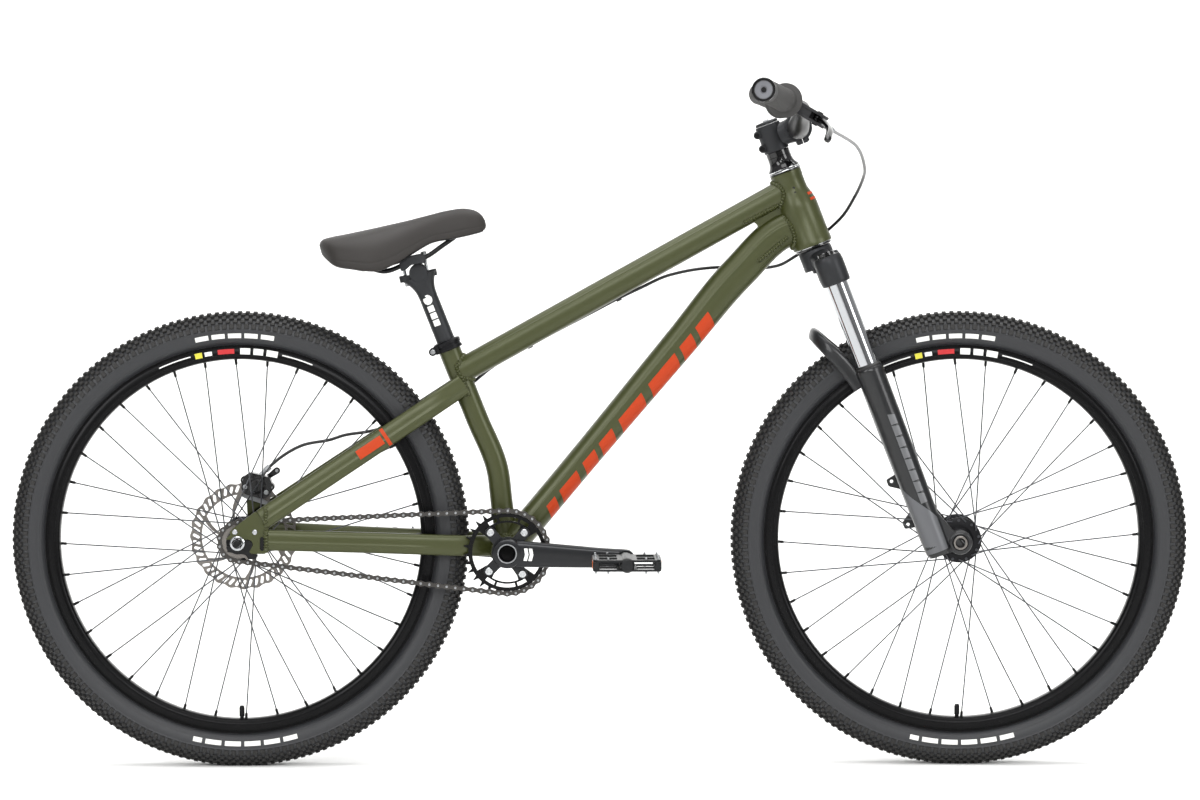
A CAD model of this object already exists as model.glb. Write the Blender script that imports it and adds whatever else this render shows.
"""A dirt jump bike with one gear, a short-travel fork and a rear disc brake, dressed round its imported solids.

Sizes are in millimetres, +X ahead, +Y to the rider's left and +Z up. build() turns them to metres.
"""

import math

import bmesh
import bpy
import numpy as np
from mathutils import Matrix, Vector
from mathutils.geometry import delaunay_2d_cdt


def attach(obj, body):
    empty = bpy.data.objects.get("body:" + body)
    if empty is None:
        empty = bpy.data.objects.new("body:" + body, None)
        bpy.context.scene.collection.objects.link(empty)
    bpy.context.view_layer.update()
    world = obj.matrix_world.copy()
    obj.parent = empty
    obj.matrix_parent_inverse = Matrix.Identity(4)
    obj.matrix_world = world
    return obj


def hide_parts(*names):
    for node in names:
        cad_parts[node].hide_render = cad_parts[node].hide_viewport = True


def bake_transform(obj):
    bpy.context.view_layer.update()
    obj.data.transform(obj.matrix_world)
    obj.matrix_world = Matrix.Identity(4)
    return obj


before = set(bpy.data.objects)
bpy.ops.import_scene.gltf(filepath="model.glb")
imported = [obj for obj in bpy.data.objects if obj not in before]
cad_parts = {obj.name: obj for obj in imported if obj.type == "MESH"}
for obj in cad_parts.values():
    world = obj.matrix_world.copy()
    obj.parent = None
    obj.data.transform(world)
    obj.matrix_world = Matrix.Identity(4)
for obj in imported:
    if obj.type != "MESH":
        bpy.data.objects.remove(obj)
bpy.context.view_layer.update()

# Camera. It stands to the bike's right, about 5.8 m away and a little above the saddle, and looks
# slightly down and ahead, as in the photograph of 1200 x 800.
METRES = 0.001
image_width = 1200
focal_pixels = 3956
camera_place = np.array([-95.7, -5800.0, 832.3])
camera_yaw = 0.0165
camera_pitch = 0.0508

camera = bpy.data.objects.new("camera", bpy.data.cameras.new("camera"))
camera.data.sensor_width = 36
camera.data.lens = focal_pixels * camera.data.sensor_width / image_width
camera.data.clip_end = 40
camera.location = camera_place * METRES
camera.rotation_euler = (math.pi / 2 - camera_pitch, 0, -camera_yaw)
bpy.context.scene.collection.objects.link(camera)
bpy.context.scene.camera = camera
# Plain sRGB, so that the paper comes out as white as the photograph's and the orange stays strong.
bpy.context.scene.view_settings.view_transform = "Standard"


# Studio. A pale paper sweep runs under the bike and up behind it, and soft boxes light it from above,
# from both sides and from the front.
def linear(colour):
    """The linear parts of an sRGB hex colour: below 0.04045 divided by 12.92, and a power of 2.4 above."""
    parts = np.array([int(colour[i:i + 2], 16) / 255 for i in (1, 3, 5)])
    curved = ((parts + 0.055) / 1.055) ** 2.4
    return (*np.where(parts <= 0.04045, parts / 12.92, curved), 1.0)


def node(tree, kind, values=None, links=None, **settings):
    """Adds a node with its settings, the values of its sockets and the links that come into it."""
    made = tree.nodes.new(kind)
    for key, value in settings.items():
        setattr(made, key, value)
    for key, value in (values or {}).items():
        made.inputs[key].default_value = value
    for key, source in (links or {}).items():
        tree.links.new(source, made.inputs[key])
    return made


def finish(name, colour, rough, grain=1.0, depth=0.01, **values):
    """A material whose shader holds the given values. A noise with grains of the given millimetres on
    Object coordinates moves its roughness between the two rough values and lifts it by depth."""
    made = bpy.data.materials.new(name)
    made.use_nodes = True
    tree = made.node_tree
    shader = tree.nodes["Principled BSDF"]
    shader.inputs["Base Color"].default_value = linear(colour)
    for key, value in values.items():
        shader.inputs[key.replace("_", " ")].default_value = value
    place = node(tree, "ShaderNodeTexCoord")
    noise = node(
        tree, "ShaderNodeTexNoise", {"Scale": 1 / (grain * METRES), "Detail": 3.0},
        {"Vector": place.outputs["Object"]},
    )
    spread = node(
        tree, "ShaderNodeMapRange",
        {"From Min": 0.3, "From Max": 0.7, "To Min": rough[0], "To Max": rough[1]},
        {"Value": noise.outputs["Fac"]},
    )
    tree.links.new(spread.outputs["Result"], shader.inputs["Roughness"])
    lift = node(tree, "ShaderNodeBump", {"Distance": depth * METRES}, {"Height": noise.outputs["Fac"]})
    tree.links.new(lift.outputs["Normal"], shader.inputs["Normal"])
    return made


def skin(rings, around=True, along=False, ends=True):
    """Points and faces of a grid. Point k of ring i joins point k + 1 and the same two of ring i + 1.
    around joins a ring's last point to its first, along joins the last ring to the first one, and ends
    closes the first and the last ring with a flat face each."""
    count, size = rings.shape[:2]
    index = np.arange(count * size).reshape(count, size)
    closing = [index[0].tolist()[::-1], index[-1].tolist()] if ends and around and not along else []
    if along:
        index = np.vstack([index, index[:1]])
    if around:
        index = np.hstack([index, index[:, :1]])
    corners = [index[:-1, :-1], index[:-1, 1:], index[1:, 1:], index[1:, :-1]]
    return rings.reshape(-1, 3), np.stack(corners, -1).reshape(-1, 4).tolist() + closing


def build(name, parts, materials, crease=32, bevel=0.0, steps=2):
    """One mesh object from parts of points, faces and the number of a material. Points that meet are
    merged, faces are turned outward, edges sharper than crease degrees stay sharp, and bevel rounds them."""
    points, faces, slots = [], [], []
    offset = 0
    for part in parts:
        rows, corners = part[:2]
        points.append(rows)
        faces += [[i + offset for i in face] for face in corners]
        slots += [part[2] if len(part) > 2 else 0] * len(corners)
        offset += len(rows)
    mesh = bpy.data.meshes.new(name)
    mesh.from_pydata((np.vstack(points) * METRES).tolist(), [], faces)
    mesh.polygons.foreach_set("material_index", slots)
    for item in materials:
        mesh.materials.append(item)
    shape = bmesh.new()
    shape.from_mesh(mesh)
    bmesh.ops.remove_doubles(shape, verts=shape.verts, dist=2e-6)
    bmesh.ops.recalc_face_normals(shape, faces=shape.faces)
    shape.to_mesh(mesh)
    shape.free()
    mesh.polygons.foreach_set("use_smooth", [True] * len(mesh.polygons))
    mesh.set_sharp_from_angle(angle=math.radians(crease))
    made = bpy.data.objects.new(name, mesh)
    bpy.context.scene.collection.objects.link(made)
    if bevel:
        rounding = made.modifiers.new("rounded edges", "BEVEL")
        rounding.width = bevel * METRES
        rounding.segments = steps
        rounding.limit_method = "ANGLE"
        rounding.angle_limit = math.radians(crease)
        rounding.use_clamp_overlap = True
    return made


def fit(name, parts, materials, body, nodes=(), slot=None, **shape):
    """build(), and the piece then rides on its body in the place of the CAD nodes that it stands for."""
    made = build(name, parts, materials, **shape)
    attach(made, body)
    if nodes:
        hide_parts(*nodes)
    return made


# Uncoated paper scatters all light evenly, which gives a white ground with soft shadows.
paper = finish("matt backdrop paper", "#f4f4f3", (0.85, 0.95), grain=4, depth=0.02)
# The sheet is clear from behind, so that the bike can be looked at from there as well.
tree = paper.node_tree
one_sided = node(tree, "ShaderNodeMixShader", links={
    0: node(tree, "ShaderNodeNewGeometry").outputs["Backfacing"],
    1: tree.nodes["Principled BSDF"].outputs["BSDF"],
    2: node(tree, "ShaderNodeBsdfTransparent").outputs["BSDF"],
})
tree.links.new(one_sided.outputs["Shader"], tree.nodes["Material Output"].inputs["Surface"])
sweep_half, sweep_front, sweep_back, sweep_bend, sweep_top = 9000, -7500, 2600, 1500, 6500
bend = np.linspace(0, np.pi / 2, 24)
sweep_line = np.vstack([
    [[sweep_front, 0]],
    np.c_[sweep_back + sweep_bend * np.sin(bend), sweep_bend * (1 - np.cos(bend))],
    [[sweep_back + sweep_bend, sweep_top]],
])
sweep_sides = np.stack([
    np.c_[np.full(len(sweep_line), side * sweep_half), sweep_line] for side in (-1, 1)
], 1)
backdrop = build("backdrop", [skin(sweep_sides, around=False)], [paper])
backdrop.data.flip_normals()

world = bpy.data.worlds.new("studio air")
world.use_nodes = True
sky = world.node_tree.nodes["Background"]
sky.inputs["Strength"].default_value = 0.8
# The room is dim at eye level and bright overhead, which draws dark bands down chrome and gloss paint.
aim = node(world.node_tree, "ShaderNodeSeparateXYZ", links={
    "Vector": node(world.node_tree, "ShaderNodeTexCoord").outputs["Generated"],
})
dimming = node(
    world.node_tree, "ShaderNodeMapRange",
    {"From Min": -0.1, "From Max": 0.75, "To Min": 0.24, "To Max": 0.85}, {"Value": aim.outputs["Z"]},
)
world.node_tree.links.new(dimming.outputs["Result"], sky.inputs["Color"])
bpy.context.scene.world = world
# Place in metres, the point looked at, width, height and power in watts of each soft box.
soft_boxes = {
    "top box": ((0.2, -0.6, 3.4), (0.0, 0.1, 0.5), 3.4, 2.2, 78),
    "left box": ((-3.2, -3.4, 2.2), (-0.2, 0, 0.5), 1.6, 2.4, 74),
    "right box": ((3.4, -2.6, 1.9), (0.3, 0, 0.5), 1.4, 2.2, 60),
    "front box": ((0.0, -5.2, 2.6), (0.0, 0, 0.4), 3.0, 1.4, 105),
    "backdrop box": ((0.0, 0.9, 3.6), (0.0, 3.8, 1.0), 5.0, 1.2, 125),
}
for name, (place, target, width, height, power) in soft_boxes.items():
    lamp = bpy.data.lights.new(name, "AREA")
    lamp.shape, lamp.size, lamp.size_y, lamp.energy = "RECTANGLE", width, height, power
    holder = bpy.data.objects.new(name, lamp)
    holder.location = place
    holder.rotation_euler = (Vector(target) - Vector(place)).to_track_quat("-Z", "Y").to_euler()
    bpy.context.scene.collection.objects.link(holder)


# Head tube. A turned aluminium tube of two diameters, with a reinforcing ring at each end, painted olive.
# It carries the headset cups, and everything in front of it turns about its axis.
def unit(rows):
    """Rows scaled to length one."""
    return rows / np.linalg.norm(rows, axis=-1, keepdims=True)


def once_round(steps):
    """Angles at equal steps once round."""
    return np.linspace(0, 2 * np.pi, steps, endpoint=False)


def round_axis(axis, segments):
    """An axis of length one, and the directions round it at equal angles: cos a * u + sin a * v, where u
    and v are square to the axis and to each other."""
    axis = unit(np.asarray(axis, float))
    u = unit(np.cross([0.0, 0, 1] if abs(axis[2]) < 0.9 else [1.0, 0, 0], axis))
    angle = once_round(segments)
    return axis, np.cos(angle)[:, None] * u + np.sin(angle)[:, None] * np.cross(axis, u)


def turned(profile, origin, axis, segments=64, number=0, open_bore=False):
    """[radius, along] rows turned round an axis: origin + along * axis + radius * a direction round it. A
    profile that starts off the axis is a closed ring, and open_bore leaves out the wall from its last row
    to its first. number is its material's place in the piece."""
    axis, way = round_axis(axis, segments)
    rows = np.asarray(profile, float)
    rings = np.asarray(origin, float) + rows[:, 1, None, None] * axis + rows[:, 0, None, None] * way
    return *skin(rings, along=rows[0, 0] > 0 and not open_bore, ends=False), number


head_bottom = np.array([312.396, 0, 764.2])
head_up = np.array([-0.358368, 0, 0.93358])
head_tube_length, head_bore = 114.7, 19
head_profile = [
    [head_bore, 0], [28.9, 0], [29.5, 0.7], [29.5, 9], [28.9, 10.4], [28.9, 58], [28.3, 66], [25.6, 76],
    [23.2, 84], [22.7, 90], [22.7, 104], [23.2, 105.6], [23.2, 114], [22.6, head_tube_length],
    [head_bore, head_tube_length],
]
# Satin paint with a little metal flake, which gives long soft highlights along the tubes.
olive = finish(
    "satin olive paint", "#373b16", (0.33, 0.42), grain=1.2, depth=0.004,
    Metallic=0.3, Coat_Weight=0.15, Coat_Roughness=0.3,
)
fit(
    "painted_head_tube", [turned(head_profile, head_bottom, head_up, 96)], [olive],
    "frame", ["head_tube"], "olive_paint",
)


# Front triangle. Hydroformed aluminium tubes, mitred and welded, with the row of beads left to show
# under the paint. The down tube swells toward a bend below the head tube.
def smooth(rows, count):
    """A curve through rows, at even steps of length: between two rows each value follows the cubic that
    has the slope of its neighbours' chord at both ends."""
    rows = np.asarray(rows, float)
    ends = np.vstack([2 * rows[0] - rows[1], rows, 2 * rows[-1] - rows[-2]])
    chord = np.linalg.norm(np.diff(ends[:, :3], axis=0), axis=1)
    at = np.r_[0, np.cumsum(chord)]
    slope = np.array([np.gradient(ends[:, k], at) for k in range(ends.shape[1])]).T[1:-1]
    at = at[1:-1]
    want = np.linspace(at[0], at[-1], count)
    i = np.clip(np.searchsorted(at, want, "right") - 1, 0, len(at) - 2)
    step = (at[i + 1] - at[i])[:, None]
    t = ((want - at[i])[:, None]) / step
    return (
        (2 * t**3 - 3 * t**2 + 1) * rows[i] + (t**3 - 2 * t**2 + t) * step * slope[i]
        + (3 * t**2 - 2 * t**3) * rows[i + 1] + (t**3 - t**2) * step * slope[i + 1]
    )


def bulge(values, roundness):
    """Each value's size to the power of roundness, with its sign kept."""
    return np.sign(values) * np.abs(values) ** roundness


def oval(sides, roundness=1.0):
    """A ring of points on a superellipse of half axes one: the sine and cosine to the power of roundness."""
    angle = once_round(sides)
    return bulge(np.c_[np.cos(angle), np.sin(angle)], roundness)


def carried(path, section, normal, closed=False):
    """A section of [side, up] rows, or one for each station, carried along a path. side is the normal made
    square to the path, and up is square to both."""
    path = np.asarray(path, float)
    if closed:
        way = unit(np.roll(path, -1, 0) - np.roll(path, 1, 0))
    else:
        way = unit(np.gradient(path, axis=0))
    normal = np.broadcast_to(np.asarray(normal, float), path.shape)
    side = unit(normal - (normal * way).sum(1, keepdims=True) * way)
    up = np.cross(way, side)
    section = np.asarray(section, float)
    if section.ndim == 2:
        section = np.broadcast_to(section, (len(path), *section.shape))
    return path[:, None] + section[..., :1] * side[:, None] + section[..., 1:] * up[:, None]


class Tube:
    """A tube through rows of x, y, z, half width and half depth, with rounded corners by its roundness."""

    def __init__(self, rows, count, roundness):
        self.rows = smooth(rows, count)
        self.roundness = roundness

    def at(self, share, angle, grow=0.0):
        """Points at shares of the length and angles round the section, pushed out by grow."""
        places = np.linspace(0, 1, len(self.rows))
        rows = np.stack([np.interp(share, places, self.rows[:, k]) for k in range(5)], -1)
        way = unit(np.stack([
            np.interp(share, places, np.gradient(self.rows[:, k])) for k in range(3)
        ], -1))
        y = np.array([0.0, 1, 0])
        side = unit(y - (way @ y)[..., None] * way)
        up = np.cross(way, side)
        across = bulge(np.cos(angle), self.roundness) * (rows[..., 3] + grow)
        rise = bulge(np.sin(angle), self.roundness) * (rows[..., 4] + grow)
        return rows[..., :3] + across[..., None] * side + rise[..., None] * up

    def skin(self, sides=48, steps=None, grow=0.0):
        """The whole tube, closed at both ends."""
        share = np.linspace(0, 1, steps or len(self.rows))
        return skin(self.at(*np.meshgrid(share, once_round(sides), indexing="ij"), grow))

    def label(self, share, angle, lean=0.0, thickness=0.3, steps=(10, 14)):
        """A thin raised patch between two shares and two angles. lean moves its far edge along, in shares."""
        s, a = np.meshgrid(np.linspace(0, 1, steps[0]), np.linspace(0, 1, steps[1]), indexing="ij")
        where = share[0] + s * (share[1] - share[0]) + a * lean
        round_to = angle[0] + a * (angle[1] - angle[0])
        top, under = self.at(where, round_to, thickness), self.at(where, round_to, -thickness)
        return skin(np.concatenate([top, under[:, ::-1]], 1))


seat_top = np.array([-225.6, 0, 623.8])
seat_up = np.array([-0.369747, 0, 0.929133])
bracket = np.array([-136.0, 0, 317.6])
top_tube_low, top_tube_high = seat_top - 49.3 * seat_up, head_bottom + 90.5 * head_up
top_tube = Tube([[*top_tube_low, 18, 18.6], [*top_tube_high, 18, 18.6]], 24, 0.84)
down_straight_end = np.array([203.26, 0, 724.79])
down_bend, down_head_end = np.array([272.09, 0, 787.04]), head_bottom + 34 * head_up
down_tube = Tube([
    [*bracket, 24, 21], [*(bracket + 0.3 * (down_straight_end - bracket)), 24, 21],
    [*(bracket + 0.75 * (down_straight_end - bracket)), 21.6, 24.2],
    [*down_straight_end, 20, 26], [*down_bend, 20, 26], [*down_head_end, 20, 26],
], 90, 0.84)
seat_tube_radius = 16.35
seat_tube = Tube([[*place, seat_tube_radius, seat_tube_radius] for place in (
    bracket, (-144.6, 0, 387.6), (-150.7, 0, 435.6), seat_top - 120 * seat_up, seat_top,
)], 60, 1.0)
shell_radius, shell_half, shell_bore = 22, 34, 17


def by_axis(points, origin, axis):
    """How far points lie along an axis from its origin, and how far away from it."""
    along = (points - origin) @ axis
    return along, np.linalg.norm(points - origin - along[..., None] * axis, axis=-1)


def in_head_tube(points):
    """True where a point is inside the head tube's outside."""
    along, away = by_axis(points, head_bottom, head_up)
    radius, up = np.array(head_profile)[1:-1].T
    return away < np.interp(along, up, radius)


def in_seat_tube(points):
    """True where a point is inside the seat tube's straight part."""
    return by_axis(points, seat_top, seat_up)[1] < seat_tube_radius


def in_shell(points):
    """True where a point is inside the bottom bracket shell."""
    return np.hypot(points[..., 0] - bracket[0], points[..., 2] - bracket[2]) < shell_radius


# The way across the bike, to the rider's left, and the way up.
ACROSS, UP = np.array([0, 1, 0]), np.array([0, 0, 1])
# A bead's drops are 4.2 mm apart, about twice the real ones, so that they show from this distance.
bead_pitch, bead_radius, bead_ripple = 4.2, 3.1, 0.9


def bead(path, closed=False):
    """A rod along a path, whose radius swings once for every drop of weld."""
    line = np.vstack([path, path[:1]]) if closed else np.asarray(path, float)
    at = np.r_[0, np.cumsum(np.linalg.norm(np.diff(line, axis=0), axis=1))]
    drops = int(at[-1] / bead_pitch)
    want = np.linspace(0, at[-1], drops * 5, endpoint=False)
    line = np.stack([np.interp(want, at, line[:, k]) for k in range(3)], -1)
    swing = bead_radius + bead_ripple * np.cos(np.linspace(0, 2 * np.pi * drops, len(line), endpoint=False))
    normal = line - line.mean(0) if closed else UP
    return skin(carried(line, oval(8) * swing[:, None, None], normal, closed), along=closed)


def weld(ring, way, inside, reach=90):
    """A bead laid where a tube runs into its neighbour: each point of the tube's ring goes along way to
    the first place inside the neighbour."""
    steps = np.linspace(-reach, reach, 721)
    places = ring + steps[:, None, None] * way
    found = inside(places)
    return bead(places[np.argmax(found, 0), np.arange(len(ring))][found.any(0)], closed=True)


def ring_of(tube, share, sides=120):
    """The tube's outside at one share of its length."""
    return tube.at(np.full(sides, share), once_round(sides))


def plate(loops, low, high, origin=(0, 0, 0), u=(1, 0, 0), v=(0, 0, 1), w=(0, 1, 0), number=0):
    """A flat piece. The outline, rows of u and v, is filled by a Delaunay triangulation that leaves its
    holes open, at the two depths along w, and every edge gets a wall."""
    rows = np.vstack(loops)
    rims, start = [], 0
    for loop in loops:
        rims.append(list(range(start, start + len(loop))))
        start += len(loop)
    faces = delaunay_2d_cdt([Vector(row) for row in rows.tolist()], [], rims, 2, 1e-6)[2]
    flat = np.asarray(origin, float) + rows[:, :1] * np.asarray(u) + rows[:, 1:] * np.asarray(v)
    depth = np.asarray(w, float)
    closed = [list(face) for face in faces] + [[i + start for i in face][::-1] for face in faces]
    closed += [[a, b, b + start, a + start] for rim in rims for a, b in zip(rim, rim[1:] + rim[:1])]
    return np.vstack([flat + low * depth, flat + high * depth]), closed, number


def rounded(corners, radius, steps=4):
    """An outline with its corners rounded: each corner becomes the curve between the points that lie
    radius before and after it, or a third of the way to the next corner where that is nearer."""
    rows = np.asarray(corners, float)
    before, after = np.roll(rows, 1, 0) - rows, np.roll(rows, -1, 0) - rows
    share = np.linspace(0, 1, steps)[None, :, None]
    start = rows + unit(before) * np.minimum(radius, np.linalg.norm(before, axis=1) / 3)[:, None]
    stop = rows + unit(after) * np.minimum(radius, np.linalg.norm(after, axis=1) / 3)[:, None]
    curve = (1 - share) ** 2 * start[:, None] + 2 * share * (1 - share) * rows[:, None]
    return (curve + share**2 * stop[:, None]).reshape(-1, 2)


def ridge(angle, height=0.8, width=0.07, sides=180):
    """A fine fold along both sides of a tube, this many radians above its widest line."""
    place = once_round(sides)
    return height * sum(np.exp(-(((place - middle) / width) ** 2)) for middle in (angle, np.pi - angle))


forward = unit(top_tube_high - top_tube_low)
fit("painted_top_tube", [
    top_tube.skin(180, 60, ridge(0.55)),
    weld(ring_of(top_tube, 0.9), forward, in_head_tube),
    weld(ring_of(top_tube, 0.1), -forward, in_seat_tube),
], [olive], "frame", ["top_tube"], "olive_paint")
fit("painted_down_tube", [
    down_tube.skin(180, grow=ridge(0.2)),
    weld(ring_of(down_tube, 0.93), unit(down_head_end - down_bend), in_head_tube),
    weld(ring_of(down_tube, 0.12), unit(bracket - down_straight_end), in_shell),
], [olive], "frame", ["down_tube"], "olive_paint")
gusset = rounded([[222, 801], [232, 793], [226, 774], [296, 790], [292, 836]], 4)
# The two seams on the left side, where the gusset meets the tubes, by their ends.
seams = [([209.3, 15.4, 797], [261.2, 14.6, 824]), ([230.7, 18.9, 740.7], [274.6, 18.4, 776.8])]
fit("head_gusset", [
    plate([gusset], -9, 9),
    *[bead(np.array([start, stop]) * [1, side, 1]) for start, stop in seams for side in (-1, 1)],
], [olive], "frame", slot="olive_paint", bevel=1.5)
shell_profile = [
    [shell_bore, -shell_half], [shell_radius - 0.6, -shell_half], [shell_radius, -shell_half + 0.6],
    [shell_radius, shell_half - 0.6], [shell_radius - 0.6, shell_half], [shell_bore, shell_half],
]
fit("painted_seat_tube", [
    seat_tube.skin(),
    turned(shell_profile, bracket, ACROSS, 72),
    weld(ring_of(seat_tube, 0.2), np.array([0.1, 0, -1.0]), in_shell),
], [olive], "frame", ["seat_tube", "bottom_bracket_shell"], "olive_paint")


# Frame graphics. Cut vinyl under the clear coat: slanting orange blocks on both sides of the down tube
# and the head tube. They stand a hair proud, as such films do. Two small vents are drilled in the head tube.

# An unlit bore, which stays black from every side.
dark_hole = finish("shade inside a socket", "#060606", (0.6, 0.8), grain=1, depth=0.01)
# Dull film: its colour stays strong, because it has hardly any highlight of its own.
orange = finish(
    "orange vinyl film", "#aa3300", (0.45, 0.55), grain=1.5, depth=0.003, Specular_IOR_Level=0.3,
)


def drum(radius, low, high, origin, axis, segments=32, number=0):
    """A plain round bar between two places along an axis, with flat ends."""
    return turned([[0, low], [radius, low], [radius, high], [0, high]], origin, axis, segments, number)


def wrap_label(origin, axis, radii, heights, angles, lift=0.2, steps=12):
    """A thin patch round a straight round tube, between two heights along its axis, where it has the two
    radii, and two angles from straight ahead, counted toward the left side."""
    axis = np.asarray(axis, float)
    u = unit(np.array([1.0, 0, 0]) - axis[0] * axis)
    v = np.cross(axis, u)
    angle = np.radians(np.linspace(*angles, steps))
    way = np.cos(angle)[:, None] * u + np.sin(angle)[:, None] * v
    origin = np.asarray(origin, float)
    layers = [origin + heights[i] * axis + (radii[i] + out) * way for i, out in (
        (0, lift), (1, lift), (1, -lift), (0, -lift),
    )]
    return skin(np.stack(layers, 1))


# Blocks on the lower half of the down tube, by where each starts and stops along it.
down_blocks_share = [
    (0.133, 0.162), (0.178, 0.238), (0.259, 0.3), (0.316, 0.361), (0.385, 0.465), (0.489, 0.581),
    (0.598, 0.638), (0.654, 0.7),
]
graphics = [
    down_tube.label(block, angles, lean=-0.016, thickness=0.35) for block in down_blocks_share
    for angles in ((math.pi * 1.02, math.pi * 1.37), (-math.pi * 0.02, -math.pi * 0.37))
]
fit("down_tube_graphics", graphics, [orange], "frame", slot="olive_paint")
# Blocks on the head tube: heights along it, the radii there, and angles from straight ahead.
head_blocks = [((72.2, 76.2), (26.9, 25.55), (-45, -8)), ((63.7, 67.5), (28.5, 28.2), (-47, -12))]
fit("head_tube_graphics", [
    wrap_label(head_bottom, head_up, radii, heights, angles) for heights, radii, angles in head_blocks
], [orange], "frame", slot="olive_paint")
vent_holes = [
    drum(1.9, -0.6, 0.15, head_bottom + along * head_up + [ahead, -radius, 0], [0, -1, 0], 16)
    for along, ahead, radius in ((90, 2.3, 22.6), (82.4, 1.7, 23.6))
]
fit("head_tube_vents", vent_holes, [dark_hole], "frame", slot="olive_paint")


# Rear triangle. Two flattened stays on each side run from a forged dropout to the seat tube and to the
# bottom bracket, and the dropouts carry the slots for the axle and the tab for the brake.
def circle(centre, radius, sides=32):
    """A loop of points round a centre."""
    return np.asarray(centre, float) + radius * oval(sides)


def slot_loop(centre, half_long, half_wide, lean=0.0, sides=9):
    """A loop with two straight sides and two round ends, turned by lean."""
    bend = np.linspace(-np.pi / 2, np.pi / 2, sides)
    end = np.c_[half_long - half_wide + half_wide * np.cos(bend), half_wide * np.sin(bend)]
    rows = np.vstack([end, -end])
    c, s = np.cos(lean), np.sin(lean)
    return np.asarray(centre, float) + rows @ np.array([[c, s], [-s, c]])


def flipped(part):
    """The part on the other side of the bike."""
    return part[0] * [1, -1, 1], *part[1:]


rear_axle = np.array([-527.0, 0, 333.5])
dropout_inner, dropout_outer, stay_y = 67.8, 74.8, 71.3
stay_stations, stay_sides = 60, 96
# Each stay's two ends in X and Z, half depth and half width, and its plan: the share of its length, the
# distance from the middle plane, and the width there as a share of the full one.
stay_rows = {
    "chainstay": ([-485.5, 338.0], [-140.0, 324.2], 15.2, 8, [
        (0, stay_y, 0.9), (0.17, 63.3, 1), (0.47, 49.3, 1), (0.71, 43, 0.9), (0.84, 38, 0.8),
        (0.97, 19, 0.9), (1, 15, 0.9),
    ]),
    "seatstay": ([-491.0, 367.9], [-200.5, 560.7], 15.4, 7, [
        (0, stay_y, 1), (0.3, 57.7, 1), (0.68, 43, 0.9), (0.87, 34, 0.85), (1, 17, 0.85),
    ]),
}
stays = {}
# Blackened steel, which shows a thin sharp glint along its edges.
insert_black = finish("black oxide steel", "#161617", (0.3, 0.42), grain=0.6, depth=0.003, Metallic=0.6)
for name, (start, end, half_depth, half_width, plan) in stay_rows.items():
    start, end = np.array([start[0], 0, start[1]]), np.array([end[0], 0, end[1]])
    stays[name] = Tube([
        [*(start + share * (end - start) + [0, y, 0]), half_width * wide, half_depth]
        for share, y, wide in plan
    ], stay_stations, 0.72)
# A fold about 2 mm wide runs along the outside of every stay and catches the light.
stay_angle = once_round(stay_sides)
stay_fold = 0.9 * np.exp(-(((stay_angle - 2 * np.pi + 0.16) / 0.09) ** 2))
# On the chainstay it runs out before the chainring.
fold_fade = np.clip((0.74 - np.linspace(0, 1, stay_stations)) / 0.1, 0, 1)[:, None]
dropout_corners = np.array([
    [-12.6, 15.5], [-0.1, 26.3], [15.5, 38.4], [27.2, 47], [44.8, 24], [42.2, 19.6], [42.2, -15.6],
    [20, -15.6],
])
insert_corners = np.array([
    [12, 5.2], [19.8, 2.8], [21.8, -2.3], [19.2, -16], [29, -16.2], [29.4, -19.6], [23.8, -23.4],
    [15.6, -23.4], [12, -17], [-16.2, -12.6],
])
disc_tab_corners = np.array([[4.5, 24], [3, 55.8], [21, 61.2], [30, 52], [30, 34], [20, 26]])
slot_end = 5.4 * oval(17)[[4, 3, 2, 1, 0, 16, 15, 14, 13]]
dropout_outline = np.vstack([
    rounded(dropout_corners, 4), [[22.7, -2.1], [20.6, 3.4], [14.8, 5.4], [-16.2, 5.4], [-16.2, 7.2]],
])
insert_outline = np.vstack([[[-16.2, -5.4]], slot_end[::-1], rounded(insert_corners, 2)])
tall_slot = slot_loop((35.8, -1), 10.3, 3.2, lean=math.pi / 2)
# For each stay: its fold, the share where its front bead starts, the way to its neighbour and the
# neighbour's inside, and the share and the X of the bead at the dropout.
stay_welds = {
    "chainstay": (stay_fold * fold_fade, 0.93, np.array([1.0, -0.25, 0]), in_shell, 0.004, -485.5),
    "seatstay": (stay_fold, 0.93, unit(np.array([0.8, -0.3, 0.5])), in_seat_tube, 0.02, -486),
}
for sign, side in ((-1, "right"), (1, "left")):
    mirror = (lambda part: part) if sign > 0 else flipped
    blades = [
        plate([dropout_outline, tall_slot], dropout_inner, dropout_outer, origin=rear_axle),
        plate([insert_outline], dropout_inner + 0.6, dropout_outer - 0.6, origin=rear_axle, number=1),
        plate([tall_slot], dropout_inner + 1, dropout_outer - 2, origin=rear_axle, number=1),
    ]
    if side == "left":
        blades.append(plate([rounded(disc_tab_corners, 5)], dropout_inner, dropout_outer, origin=rear_axle))
    fit(
        f"forged_dropout_{side}", [mirror(part) for part in blades], [olive, insert_black], "frame",
        [f"dropout_{side}"], "olive_paint", bevel=1.1,
    )
    for name, (fold, front_share, way, inside, rear_share, rear_x) in stay_welds.items():
        stay = [
            stays[name].skin(stay_sides, grow=fold),
            weld(ring_of(stays[name], front_share), way, inside),
            weld(ring_of(stays[name], rear_share), np.array([1.0, 0, 0]), lambda p: p[..., 0] > rear_x),
        ]
        fit(f"painted_{name}_{side}", [mirror(part) for part in stay], [olive], "frame",
            [f"{name}_{side}"], "olive_paint")
bridge_place = np.array([-241.2, 0, 533.7])
bridge_profile = [[0, -30], [8, -29], [7.4, -22], [7.4, 22], [8, 29], [0, 30]]
fit("seatstay_bridge", [turned(bridge_profile, bridge_place, ACROSS, 32)], [olive], "frame",
    slot="olive_paint")
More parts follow.
